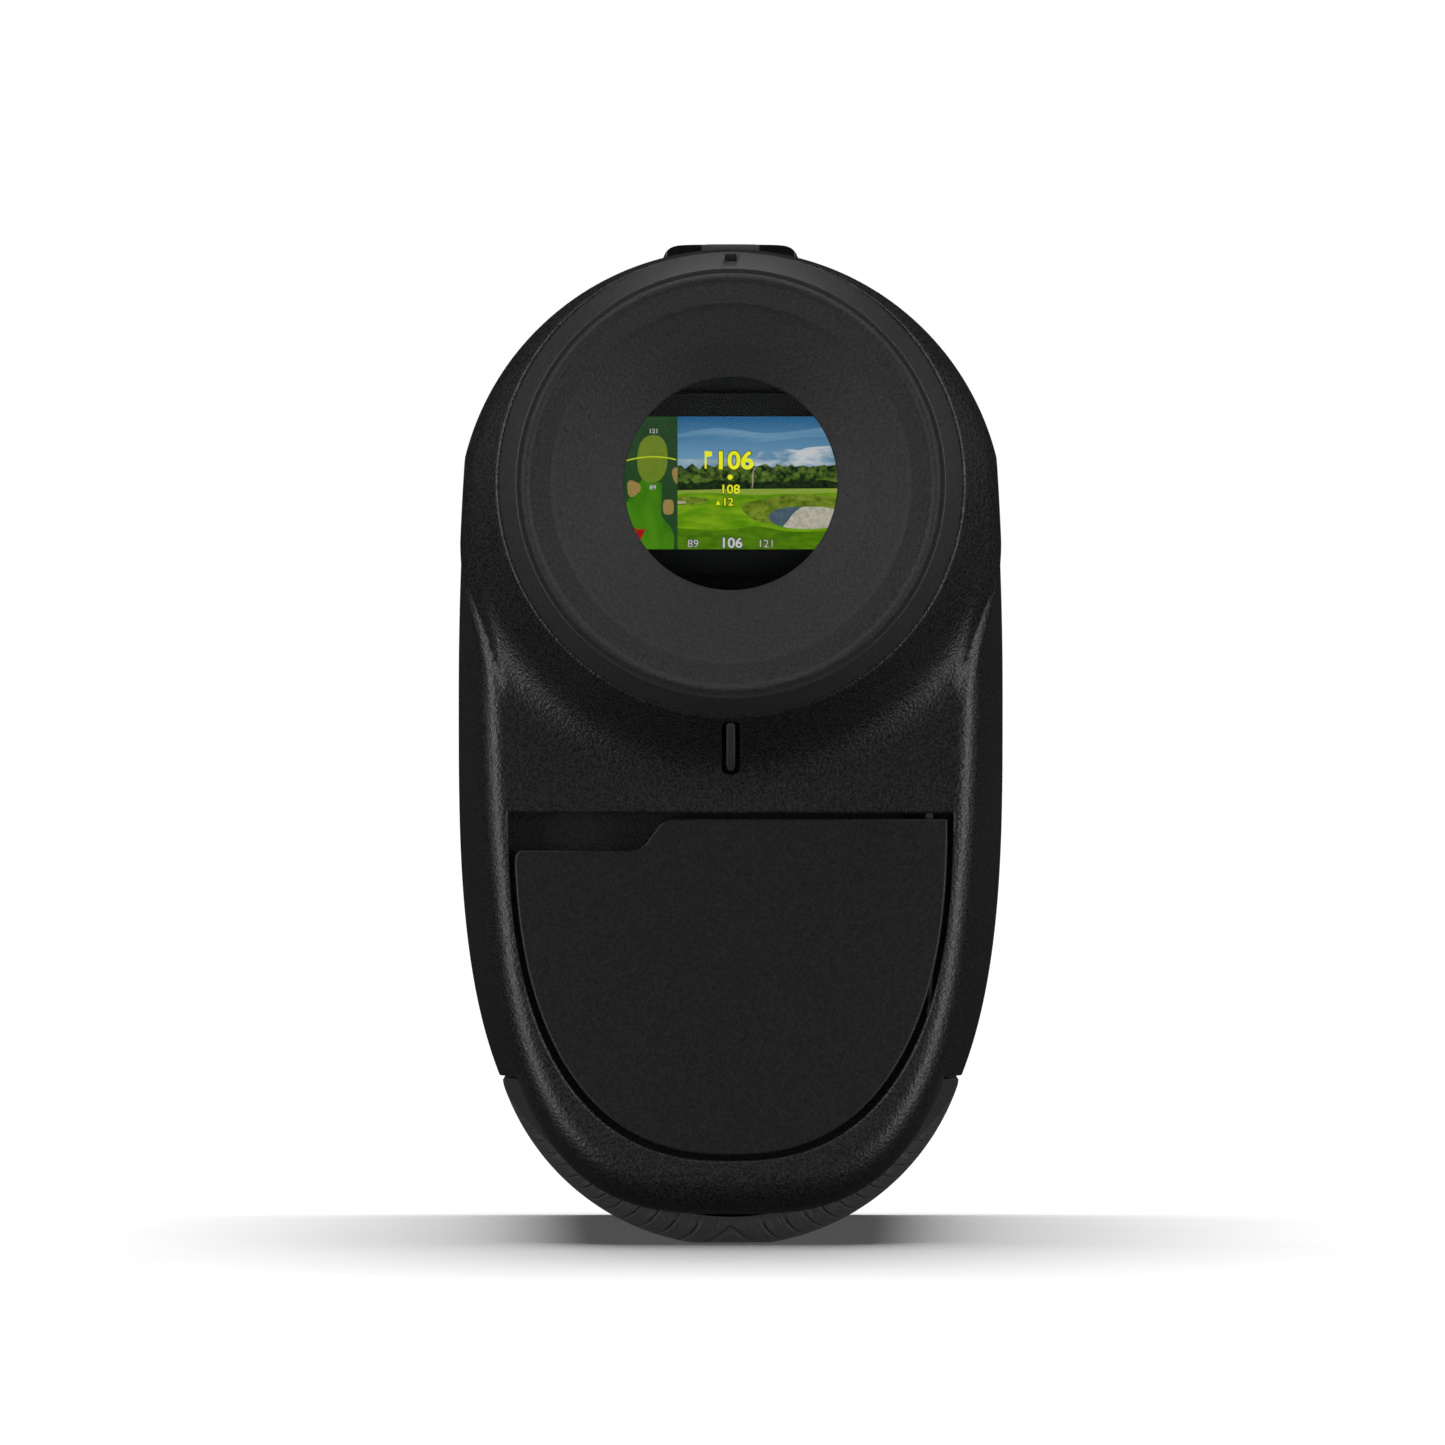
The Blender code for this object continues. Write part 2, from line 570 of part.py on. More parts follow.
def build_port():
    socket = piece("usb_socket", prism(pill(1.65, 4.5, (19.0, 0.0), 5), -41.2, -33.5), STEEL)
    socket.data.transform(swap_xz())
    mouth = [(z, x) for x, z in pill(1.3, 4.15, (19.0, 0.0), 5)]
    cut(socket, prism(mouth, -42.0, -34.6))
    tongue = block((-3.3, -40.6, 18.65), (3.3, -34.0, 19.35))
    join(socket, tongue)
    piece("usb_board", block((-8.0, -33.2, 12.0), (8.0, -32.3, 26.0)), BOARD)


def swap_xz():
    return Matrix(((0, 0, 1, 0), (0, 1, 0, 0), (1, 0, 0, 0), (0, 0, 0, 1)))


# ---------------------------------------------------------------- electronics
def build_electronics():
    board = piece("main_board", block((-16.0, -35.5, 35.2), (16.0, 19.0, 36.2)), BOARD)
    for side in (-1, 1):
        cut(board, rod(34.0, 38.0, 1.1, "Z", (side * 12.0, 16.0), 12))
    piece("processor", block((-5.0, -17.0, 36.5), (5.0, -7.0, 37.5), 0.15), CHIP)
    can = piece("shield_can", block((-9.0, -3.0, 36.5), (9.0, 11.0, 39.3), 0.3), STEEL)
    cut(can, block((-8.5, -2.5, 36.0), (8.5, 10.5, 38.8)))
    piece("battery", block((-12.0, -28.5, 12.0), (12.0, 2.0, 32.8), 1.2), FOIL)
    bracket = piece("battery_bracket", block((-13.2, -22.0, 20.0), (13.2, -12.0, 34.4)), FRAME)
    cut(bracket, block((-12.4, -23.0, 19.0), (12.4, -11.0, 33.3)))
    piece("gps_antenna", block((-6.0, -28.0, 67.6), (6.0, -16.0, 71.6), 0.3), ((0.72, 0.70, 0.62), 0.45, 0.0))
    for number, side in ((1, -1), (2, 1)):
        shape = screw((0.0, 0.0), 36.5, 32.6, 1.7, 0.8)
        shape.transform(y_to_z(side * 12.0, 16.0))
        piece(f"main_board_screw_{number}", shape, STEEL)


def y_to_z(x, y):
    """Stand a shape made along Y up along Z at x, y."""
    return Matrix(((1, 0, 0, x), (0, 0, -1, y), (0, 1, 0, 0), (0, 0, 0, 1)))


def build_keys():
    piece("key_board", block((-6.0, 8.0, 67.0), (6.0, 42.0, 67.8)), BOARD)
    for name, y, half_length in (("range", RANGE_KEY_Y, RANGE_KEY_HALF), ("mode", MODE_KEY_Y, MODE_KEY_HALF)):
        switch = piece(f"{name}_switch", block((-2.6, y - 2.6, 68.1), (2.6, y + 2.6, 70.7)), CHIP)
        cut(switch, rod(69.3, 72.0, 1.3, "Z", (0.0, y), 16))
        rest = (0.0, y, 74.0)
        key = piece(f"{name}_key", prism(pill(KEY_HALF, half_length, (0.0, y), 6), 75.75, KEY_TOP_Z, "Z"),
                    GLOSS, rest)
        bevel = key.modifiers.new("soft edge", "BEVEL")
        bevel.width = 0.00025
        bevel.segments = 1
        join(key, rod(72.0, 76.2, 1.2, "Z", (0.0, y), 16))
        piece(f"{name}_switch_plunger", rod(70.2, 71.7, 1.0, "Z", (0.0, y), 16), BLACK, rest)


def build_vibration_motor():
    motor = rod(-8.5, -0.5, 2.4, "X", (36.0, 9.6), 20)
    motor = piece("vibration_motor", motor, STEEL)
    cut(motor, rod(-2.6, 0.5, 0.6, "X", (36.0, 9.6), 12))
    shaft = rod(-2.2, 1.0, 0.4, "X", (36.0, 9.6), 12)
    weight = piece("vibration_weight", shaft, BRASS, (0.0, 36.0, 9.6))
    half_disc = [(36.0 + 2.3 * math.sin(a), 9.6 - 2.3 * math.cos(a)) for a in
                 (math.radians(-100 + 20 * i) for i in range(11))]
    join(weight, prism(half_disc, 0.0, 3.2, "X"))


# ---------------------------------------------------------------- front optics
def build_optics():
    for name, z, radius, start in (("camera_barrel", CAMERA_Z, CAMERA_RADIUS, 20.0),
                                   ("receiver_tube", RECEIVER_Z, RECEIVER_RADIUS, 20.0),
                                   ("emitter_tube", EMITTER_Z, EMITTER_RADIUS, 20.0)):
        inner = radius - TUBE_WALL
        profile = [(start, inner), (start, radius), (TUBE_END_Y, radius), (TUBE_END_Y, inner + 0.2),
                   (50.6, inner + 0.2), (50.6, inner)]
        piece(name, turned(profile, "Y", (0.0, z), 32), BLACK)
        lens_name = name.split("_")[0] + "_lens"
        finish = COATED if name == "camera_barrel" else GLASS
        piece(lens_name, lens(51.6, 54.0, inner - 0.1, 0.6, (0.0, z)), finish)
    sensor = block((-9.0, 17.6, CAMERA_Z - 9.0), (9.0, 18.6, CAMERA_Z + 9.0))
    piece("camera_sensor_board", sensor, BOARD)
    piece("receiver_board", block((-9.0, 14.6, RECEIVER_Z - 9.0), (9.0, 15.6, RECEIVER_Z + 8.0)), BOARD)
    piece("photodiode", rod(15.9, 18.5, 2.3, "Y", (0.0, RECEIVER_Z), 20), STEEL)
    piece("laser_diode", turned([(15.6, 0.0), (15.6, 2.6), (16.8, 2.6), (16.8, 2.1), (19.3, 2.1), (19.3, 0.0)],
                                "Y", (0.0, EMITTER_Z), 20, closed=False), BRASS)

    outline = [(r * math.sin(a), RAY_Z - r * math.cos(a)) for a, r in zip(ANGLES, inside_reach(24.0, 2.4))]
    chassis = piece("optical_chassis", prism([(x, z) for x, z in outline], 22.3, 25.0), FRAME)
    for z, radius in ((CAMERA_Z, CAMERA_RADIUS), (RECEIVER_Z, RECEIVER_RADIUS), (EMITTER_Z, EMITTER_RADIUS)):
        cut(chassis, rod(21.0, 26.0, radius + 0.25, centre=(0.0, z), steps=32))
    cut(chassis, block((-6.4, 21.0, 66.6), (6.4, 26.0, 80.0)))
    for number, side in ((1, -1), (2, 1)):
        place = (side * CHASSIS_SCREW_X, CHASSIS_SCREW_Z)
        join(chassis, block((side * 12.0 - 2.2, 13.5, 32.4), (side * 12.0 + 2.2, 22.8, 34.9)))
        cut(chassis, rod(31.0, 36.0, 0.95, "Z", (side * 12.0, 16.0), 12))
        cut(chassis, rod(21.0, 26.0, 1.0, centre=place, steps=12))
        piece(f"chassis_screw_{number}", screw(place, 22.0, 28.5, 1.6, 0.8), STEEL)


def build_housing_screws():
    for number, place in enumerate(SCREW_PLACES, 1):
        shape = screw(place, 6.3, -6.5, 1.7, 0.8)
        piece(f"housing_screw_{number}", shape, STEEL)


clear_scene()
build_rear_housing()
build_front_housing()
build_housing_seal()
build_front_bezel()
build_belly_grip()
build_key_panel()
build_light_pipe()
build_eyepiece()
build_display()
build_port_cover()
build_port()
build_electronics()
build_keys()
build_vibration_motor()
build_optics()
build_housing_screws()
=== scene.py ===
import math

import bmesh
import bpy
import numpy as np
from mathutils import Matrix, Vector


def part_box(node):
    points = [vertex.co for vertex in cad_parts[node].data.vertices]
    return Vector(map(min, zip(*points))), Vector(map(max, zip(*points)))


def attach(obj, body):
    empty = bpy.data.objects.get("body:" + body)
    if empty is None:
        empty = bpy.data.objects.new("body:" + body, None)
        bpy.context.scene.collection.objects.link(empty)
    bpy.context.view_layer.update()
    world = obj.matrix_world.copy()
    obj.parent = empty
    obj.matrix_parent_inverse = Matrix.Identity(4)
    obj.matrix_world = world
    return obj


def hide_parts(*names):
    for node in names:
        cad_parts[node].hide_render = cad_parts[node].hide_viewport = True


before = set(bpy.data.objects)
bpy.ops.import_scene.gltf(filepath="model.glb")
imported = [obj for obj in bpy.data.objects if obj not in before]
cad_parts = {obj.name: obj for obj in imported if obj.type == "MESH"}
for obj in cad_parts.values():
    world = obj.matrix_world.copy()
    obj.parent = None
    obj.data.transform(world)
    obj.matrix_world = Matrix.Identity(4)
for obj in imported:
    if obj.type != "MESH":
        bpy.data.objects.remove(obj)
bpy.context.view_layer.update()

MM = 0.001


def span(node):
    """Lowest and highest corner of a CAD node, in millimetres."""
    low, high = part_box(node)
    return low / MM, high / MM


# ---- places and sizes read from the frame, in millimetres ----
SHELL_LOW, SHELL_HIGH = span("rear_housing")
FRONT_LOW, FRONT_HIGH = span("front_housing")
NOSE_LOW, NOSE_HIGH = span("front_bezel")
GRIP_LOW, GRIP_HIGH = span("belly_grip")
CUP_LOW, CUP_HIGH = span("eyecup")
RING_LOW, RING_HIGH = span("diopter_ring")
COVER_LOW, COVER_HIGH = span("port_cover")
SEAL_LOW, SEAL_HIGH = span("port_cover_seal")
PANEL_LOW, PANEL_HIGH = span("top_key_panel")
PIPE_LOW, PIPE_HIGH = span("status_light_pipe")
DISPLAY_LOW, DISPLAY_HIGH = span("display_panel")
WINDOW_LOW, WINDOW_HIGH = span("front_window")

EYE_Z = (CUP_LOW.z + CUP_HIGH.z) / 2
COLLAR_Y = SHELL_LOW.y
REAR_Y = COVER_LOW.y
SEAM_Y = SHELL_HIGH.y
FRONT_Y = FRONT_HIGH.y
NOSE_Y = NOSE_HIGH.y
BODY_HALF = SHELL_HIGH.x
BODY_TOP = 76.0
BODY_LOW = 2.2
WAIST_Z = 41.0                # widest height of the body, and the middle of the three lenses
BARREL_Z = 42.0               # above this height the sides lean in a little
RAY_Z = 50.0                  # the outline is found along rays from this height
REAR_EDGE = 1.6               # radius of the ridge round the rear face
SEAM_LIP = 0.15               # a lip of the rear shell that meets the seal, so that no light gets through
INNER_Y = -46.0               # inner side of the rear wall
WALL = 1.8
BORE = 15.6
COLLAR_RADIUS = 17.9
COLLAR_SLOPE = 0.62
RING_RADIUS = RING_HIGH.x
APERTURE = 8.12
COVER_HALF = COVER_HIGH.x
COVER_TOP = COVER_HIGH.z
COVER_DEPTH = COVER_TOP - COVER_LOW.z
COVER_GAP = 0.4
COVER_POWER = 2.4
HINGE_X = 15.2
HINGE_Y = -49.4
RECESS_Y = -47.9
NOTCH_DROP = 2.4              # how far the cover's finger notch lies below its top edge
NOTCH_X = -7.6
GRIP_Z = 18.48
GRIP_RADIUS = 18.72
GRIP_INNER = 16.9
GRIP_INNER_Z = 18.9
GRIP_EDGE_Z = 12.5
GRIP_ROOM = 0.08
GRIP_LINE = 20.8              # radius and centre height of the line where skin and housing meet at the rear
GRIP_LINE_Z = 22.98
ROUND_STEPS = 200
SHELL_ANGLES = 360
REAR_TAPER = 28.0             # length over which the body narrows towards the rear
UNDER_ROUND = 5.0             # length over which the belly rises at the rear
NOSE_ROUND = 24.0             # length over which the body narrows towards the nose


# ---- mesh helpers ----
def add_object(name, data):
    made = bpy.data.objects.new(name, data)
    bpy.context.scene.collection.objects.link(made)
    return made


def new_piece(name, shape, body, node, finish=None, sharp=40):
    """A visible piece from a bmesh in millimetres; it rides on a body and stands for a CAD node."""
    bmesh.ops.remove_doubles(shape, verts=shape.verts, dist=0.0005)
    bmesh.ops.recalc_face_normals(shape, faces=shape.faces)
    bmesh.ops.scale(shape, verts=shape.verts, vec=(MM, MM, MM))
    mesh = bpy.data.meshes.new(name)
    shape.to_mesh(mesh)
    shape.free()
    made = add_object(name, mesh)
    mesh.shade_smooth()
    mesh.set_sharp_from_angle(angle=math.radians(sharp))
    if finish:
        mesh.materials.append(finish)
    if body:
        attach(made, body)
        if node:
            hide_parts(node)
    return made


def combine(target, shapes, operation="DIFFERENCE", sharp=40):
    """Cut the shapes away from a piece, or join them to it, and bake the result into its mesh."""
    for shape in shapes:
        tool = new_piece("tool", shape, None, None)
        step = target.modifiers.new("step", "BOOLEAN")
        step.operation = operation
        step.solver = "EXACT"
        step.object = tool
        baked = bpy.data.meshes.new_from_object(target.evaluated_get(bpy.context.evaluated_depsgraph_get()))
        target.modifiers.clear()
        target.data = baked
        bpy.data.objects.remove(tool)
    target.data.shade_smooth()
    target.data.set_sharp_from_angle(angle=math.radians(sharp))


def stack(rings, closed=False):
    """Skin a row of rings of equal length into one mesh, and cap its ends unless it closes on itself."""
    shape = bmesh.new()
    rows = [[shape.verts.new(point) for point in ring] for ring in rings]
    pairs = list(zip(rows, rows[1:]))
    if closed:
        pairs.append((rows[-1], rows[0]))
    count = len(rows[0])
    for low, high in pairs:
        for i in range(count):
            j = (i + 1) % count
            shape.faces.new((low[i], low[j], high[j], high[i]))
    if not closed:
        shape.faces.new(rows[0][::-1])
        shape.faces.new(rows[-1])
    return shape


def full_turn(steps):
    """Equally spaced angles once round."""
    return [2 * math.pi * i / steps for i in range(steps)]


def turned(profile, centre_z=EYE_Z, steps=ROUND_STEPS, closed=True):
    """Turn (y, radius) points round an axis along Y."""
    turns = full_turn(steps)
    return stack([[(r * math.cos(a), y, centre_z + r * math.sin(a)) for a in turns]
                  for y, r in profile], closed)


def rounded(points, radius, steps=6):
    """Round the corners of a closed outline; radius is one number, or one for each corner."""
    count = len(points)
    radii = radius if hasattr(radius, "__len__") else [radius] * count
    made = []
    for i, here in enumerate(points):
        here = Vector(here)
        before = Vector(points[i - 1]) - here
        after = Vector(points[(i + 1) % count]) - here
        angle = before.angle(after)
        if radii[i] <= 0 or angle > math.radians(178):
            made.append(tuple(here))
            continue
        reach = min(radii[i] / math.tan(angle / 2), before.length * 0.49, after.length * 0.49)
        start = here + before.normalized() * reach
        end = here + after.normalized() * reach
        for k in range(steps + 1):
            t = k / steps
            made.append(tuple(start * (1 - t) ** 2 + here * 2 * t * (1 - t) + end * t ** 2))
    return made


def rounded_box(low, high, radius, steps):
    """A rectangle between two corners, with round corners."""
    return rounded([low, (high[0], low[1]), high, (low[0], high[1])], radius, steps)


def grown(outline, distance):
    """The closed outline moved outward, or inward with a negative distance."""
    points = [Vector(p) for p in outline]
    count = len(points)
    area = sum(points[i - 1].x * points[i].y - points[i].x * points[i - 1].y for i in range(count))
    side = 1.0 if area > 0 else -1.0
    made = []
    for i, here in enumerate(points):
        one = (here - points[i - 1]).normalized()
        two = (points[(i + 1) % count] - here).normalized()
        normal = Vector((one.y + two.y, -one.x - two.x)).normalized() * side
        stretch = 1.0 / max(0.4, math.sqrt(max(0.0, (1 + one.dot(two)) / 2)))
        made.append(tuple(here + normal * distance * stretch))
    return made


def slab(outline, steps):
    """A loft of one XZ outline along Y; steps holds (y, how far the outline grows there)."""
    return stack([[(x, y, z) for x, z in grown(outline, grow)] for y, grow in steps])


def upright(outline, steps):
    """A loft of one XY outline along Z; steps holds (z, how far the outline grows there)."""
    return stack([[(x, y, z) for x, y in grown(outline, grow)] for z, grow in steps])


def pill(half, half_length, centre, steps=24):
    """A slot outline with round ends; its middle lies at centre on the second axis."""
    points = []
    for side, turn in ((1, 0.0), (-1, math.pi)):
        for i in range(steps + 1):
            a = turn + math.pi * i / steps
            points.append((half * math.cos(a), centre + side * (half_length - half) + half * math.sin(a)))
    return points


def box(low, high, edge=0.0):
    """A box between two corners, with its edges rounded by edge."""
    shape = bmesh.new()
    bmesh.ops.create_cube(shape, size=1.0)
    middle = [(a + b) / 2 for a, b in zip(low, high)]
    size = [b - a for a, b in zip(low, high)]
    for vert in shape.verts:
        vert.co = [middle[k] + vert.co[k] * size[k] for k in range(3)]
    if edge:
        bmesh.ops.bevel(shape, geom=shape.edges[:], offset=edge, segments=3, affect="EDGES", profile=0.5)
    return shape


# ---- body shape ----
def body_size(y):
    """Half width, top and bottom of the body along y, with a rounded rear edge and tapering ends."""
    taper = 1 - (1 - np.clip((y - REAR_Y) / REAR_TAPER, 0, 1)) ** 2.2
    edge = 1 - np.sqrt(1 - (1 - np.clip((y - REAR_Y) / REAR_EDGE, 0, 1)) ** 2)
    under = 1 - np.sqrt(1 - (1 - np.clip((y - REAR_Y) / UNDER_ROUND, 0, 1)) ** 2)
    nose = 1 - np.sqrt(1 - (1 - np.clip((NOSE_Y - y) / NOSE_ROUND, 0, 1)) ** 2)
    half = BODY_HALF - 1.9 * (1 - taper) - REAR_EDGE * edge - 2.2 * nose
    top = BODY_TOP - 1.5 * (1 - taper) - 2.6 * nose
    low = BODY_LOW + 3.2 * under + 4.0 * nose
    return half, top, low, taper


def outline_value(x, z, half, top, low):
    """Below 1 inside: round top, slightly barrelled sides, superellipse below the waist."""
    upper = np.hypot(x, np.maximum(z - (top - half), 0.0)) / half
    drop = 0.015 * (np.maximum(z - BARREL_Z, 0.0) / 13.0) ** 2
    sides = np.abs(x) / (half * (1.0 - drop))
    depth = np.maximum(WAIST_Z - z, 0.0) / (WAIST_Z - low)
    lower = (np.abs(x / half) ** 3 + depth ** 3) ** (1.0 / 3.0)
    return np.maximum(np.maximum(upper, sides), lower)


def soft_min(a, b, reach):
    """The smaller of two values, with a round change-over that is reach wide."""
    mix = np.clip(0.5 + 0.5 * (b - a) / reach, 0, 1)
    return b + (a - b) * mix - reach * mix * (1 - mix)


def shell_distance(x, y, z):
    """Roughly how far a point is outside the rear shell: body, eyepiece collar and the fillet between."""
    half, top, low, taper = body_size(y)
    narrow = 1 + 0.0018 * np.clip(45.0 - z, 0, 18) * (1 - taper)
    body = (outline_value(x * narrow, z, half, top, low) - 1) * half
    body = np.maximum(body, REAR_Y - y)
    limit = (outline_value(x, z, BODY_HALF, BODY_TOP, BODY_LOW) - 1) * BODY_HALF
    cone = np.minimum(COLLAR_RADIUS + COLLAR_SLOPE * (y - COLLAR_Y), 22.0 - 0.25 * np.maximum(y - REAR_Y, 0))
    collar = (np.hypot(x, z - EYE_Z) - cone) / math.hypot(1, COLLAR_SLOPE)
    collar = -soft_min(-collar, -limit, 1.0)
    collar = -soft_min(-collar, y - COLLAR_Y, 0.18)
    return np.maximum(soft_min(body, collar, 2.6), limit)


def bisect(value, near, far, rounds=34):
    """Where value changes sign between near, which is inside, and far, element by element."""
    for _ in range(rounds):
        middle = (near + far) / 2
        inside = value(middle) < 0
        near = np.where(inside, middle, near)
        far = np.where(inside, far, middle)
    return near


def even_angles(count):
    """Ray angles whose points lie equally far apart on the body's outline."""
    fine = np.linspace(0.0, 2 * math.pi, 1441)

    def value(r):
        return outline_value(r * np.sin(fine), RAY_Z - r * np.cos(fine), BODY_HALF, BODY_TOP, BODY_LOW) - 1
    reach = bisect(value, np.zeros_like(fine), np.full_like(fine, 70.0))
    walked = np.hypot(np.diff(reach * np.sin(fine)), np.diff(reach * np.cos(fine))).cumsum()
    walked = np.concatenate(([0.0], walked))
    return np.interp(np.arange(count) * walked[-1] / count, walked, fine)


ANGLES = even_angles(SHELL_ANGLES)


def outline_points(y, inset=0.0):
    """x and z of the shell's outline at y, moved inward by inset."""
    def value(r):
        x = r * np.sin(ANGLES)
        z = RAY_Z - r * np.cos(ANGLES)
        return shell_distance(x, np.full_like(x, y), z) + inset
    reach = bisect(value, np.zeros_like(ANGLES), np.full_like(ANGLES, 70.0))
    return reach * np.sin(ANGLES), RAY_Z - reach * np.cos(ANGLES)


def ring(y, inset=0.0):
    x, z = outline_points(y, inset)
    return [(a, y, b) for a, b in zip(x, z)]


def inside_ring(y):
    """The inner wall, which also keeps clear of the belly grip's recess."""
    x, z = outline_points(y, WALL)
    narrow = GRIP_INNER - 2.1
    low = z < GRIP_INNER_Z
    room = np.where(low, np.hypot(x, z - GRIP_INNER_Z) / narrow,
                    np.abs(x) / (narrow + 1.2 * np.maximum(z - GRIP_INNER_Z, 0)))
    shrink = 1 / np.maximum(room, 1)
    return [(a * s, y, GRIP_INNER_Z + (b - GRIP_INNER_Z) * s if under else b)
            for a, b, s, under in zip(x, z, shrink, low)]


def cover_outline(half, top, depth, power):
    """A D with a straight top and a superellipse below, from the right corner to the left one."""
    points = []
    for a in (math.pi * i / 72 for i in range(73)):
        side = math.copysign(abs(math.cos(a)) ** (2 / power), math.cos(a))
        points.append((half * side, top - depth * math.sin(a) ** (2 / power)))
    return points


def grip_recess(*stations):
    """The recess that the belly grip lies in: a crescent between two circles, open below."""
    outer = GRIP_RADIUS + 20.0 * GRIP_ROOM
    inner = GRIP_INNER - GRIP_ROOM
    edge = GRIP_EDGE_Z + 3.0 * GRIP_ROOM
    outer_turn = math.acos((GRIP_Z - edge) / outer)
    inner_turn = math.acos((GRIP_INNER_Z - edge) / inner)
    turns = [1 - 2 * i / 96 for i in range(97)]
    outline = [(outer * math.sin(outer_turn * t), GRIP_Z - outer * math.cos(outer_turn * t)) for t in turns]
    outline += [(inner * math.sin(-inner_turn * t), GRIP_INNER_Z - inner * math.cos(inner_turn * t))
                for t in turns]
    return stack([[(x, y, z) for x, z in outline] for y in stations])


# ---- materials ----
def shader_of(name):
    """A new material with its node tree and its shader."""
    made = bpy.data.materials.new(name)
    made.use_nodes = True
    return made, made.node_tree, made.node_tree.nodes["Principled BSDF"]


def noise(tree, place, size, detail=3.0, rough=0.5):
    """A noise whose features are about size millimetres across."""
    node = tree.nodes.new("ShaderNodeTexNoise")
    node.inputs["Scale"].default_value = 1.0 / (size * MM)
    node.inputs["Detail"].default_value = detail
    node.inputs["Roughness"].default_value = rough
    tree.links.new(place, node.inputs["Vector"])
    return node.outputs["Fac"]


def remap(tree, value, low, high, start=0.3, end=0.7):
    """Take start..end of a value to low..high."""
    node = tree.nodes.new("ShaderNodeMapRange")
    for socket, number in zip(("From Min", "From Max", "To Min", "To Max"), (start, end, low, high)):
        node.inputs[socket].default_value = number
    tree.links.new(value, node.inputs["Value"])
    return node.outputs["Result"]


def mix(tree, factor, one, two):
    """Mix two colours; each is a colour or the output of a node."""
    node = tree.nodes.new("ShaderNodeMix")
    node.data_type = "RGBA"
    tree.links.new(factor, node.inputs["Factor"])
    for socket, value in (("A", one), ("B", two)):
        target = next(s for s in node.inputs if s.name == socket and s.type == "RGBA")
        if hasattr(value, "is_linked"):
            tree.links.new(value, target)
        else:
            target.default_value = (*value, 1.0)
    return next(s for s in node.outputs if s.type == "RGBA")


def surface(name, colour, rough, grain=0.3, depth=0.01, vary=0.18, metal=0.0, level=0.5, coat=0.0,
            leather=0.0, clear=0.0, ior=1.5, sheen=0.0):
    """A finish with fine grain as bump, leather cells where asked, and colour and roughness that drift.
    grain, depth and leather are in millimetres; clear is how far light gets through."""
    made, tree, shader = shader_of(name)
    place = tree.nodes.new("ShaderNodeTexCoord").outputs["Object"]
    fine = noise(tree, place, grain, 4.0, 0.6)
    drift = noise(tree, place, 9.0, 3.0, 0.55)
    dark = [c * (1 - vary) for c in colour]
    pale = [min(1.0, c * (1 + vary)) for c in colour]
    tone = mix(tree, remap(tree, fine, 0.0, 1.0, 0.4, 0.6), dark, pale)
    tone = mix(tree, remap(tree, drift, 0.0, 0.2), tone, pale)
    tree.links.new(tone, shader.inputs["Base Color"])
    spread = noise(tree, place, grain * 2, 4.0, 0.6)
    tree.links.new(remap(tree, spread, max(0.02, rough - 0.08), min(1.0, rough + 0.08)),
                   shader.inputs["Roughness"])
    bump = tree.nodes.new("ShaderNodeBump")
    bump.inputs["Distance"].default_value = depth * MM
    height = fine
    if leather:
        cells = tree.nodes.new("ShaderNodeTexVoronoi")
        cells.feature = "SMOOTH_F1"
        cells.inputs["Scale"].default_value = 1.0 / (leather * MM)
        cells.inputs["Smoothness"].default_value = 0.35
        tree.links.new(place, cells.inputs["Vector"])
        joined = tree.nodes.new("ShaderNodeMath")
        joined.operation = "MULTIPLY_ADD"
        joined.inputs[1].default_value = 0.55
        tree.links.new(fine, joined.inputs[0])
        tree.links.new(cells.outputs["Distance"], joined.inputs[2])
        height = joined.outputs["Value"]
    tree.links.new(height, bump.inputs["Height"])
    tree.links.new(bump.outputs["Normal"], shader.inputs["Normal"])
    for socket, number in (("Metallic", metal), ("Specular IOR Level", level), ("IOR", ior),
                           ("Coat Weight", coat), ("Coat Roughness", 0.08),
                           ("Transmission Weight", clear), ("Sheen Weight", sheen)):
        shader.inputs[socket].default_value = number
    return made


def screen(rgb):
    """A colour in screen values 0..255 as linear light."""
    parts = [value / 255.0 for value in rgb]
    return tuple(v / 12.92 if v <= 0.04045 else ((v + 0.055) / 1.055) ** 2.4 for v in parts)


def glow(name, one, two, size=1.0, stretch=(1, 1, 1), detail=5.0, low=0.35, high=0.65, rise=None):
    """A lit patch of the display: two colours mixed by noise, or by height between rise[0] and rise[1]."""
    made, tree, shader = shader_of(name)
    place = tree.nodes.new("ShaderNodeTexCoord").outputs["Object"]
    if rise:
        parts = tree.nodes.new("ShaderNodeSeparateXYZ")
        tree.links.new(place, parts.inputs["Vector"])
        factor = remap(tree, parts.outputs["Z"], 0.0, 1.0, rise[0] * MM, rise[1] * MM)
    else:
        scaled = tree.nodes.new("ShaderNodeMapping")
        scaled.inputs["Scale"].default_value = stretch
        tree.links.new(place, scaled.inputs["Vector"])
        factor = remap(tree, noise(tree, scaled.outputs["Vector"], size, detail, 0.62), 0.0, 1.0, low, high)
    tree.links.new(mix(tree, factor, screen(one), screen(two)), shader.inputs["Emission Color"])
    for socket, value in (("Emission Strength", 1.0), ("Base Color", (0.0, 0.0, 0.0, 1.0)),
                          ("Roughness", 0.6), ("Specular IOR Level", 0.0)):
        shader.inputs[socket].default_value = value
    return made


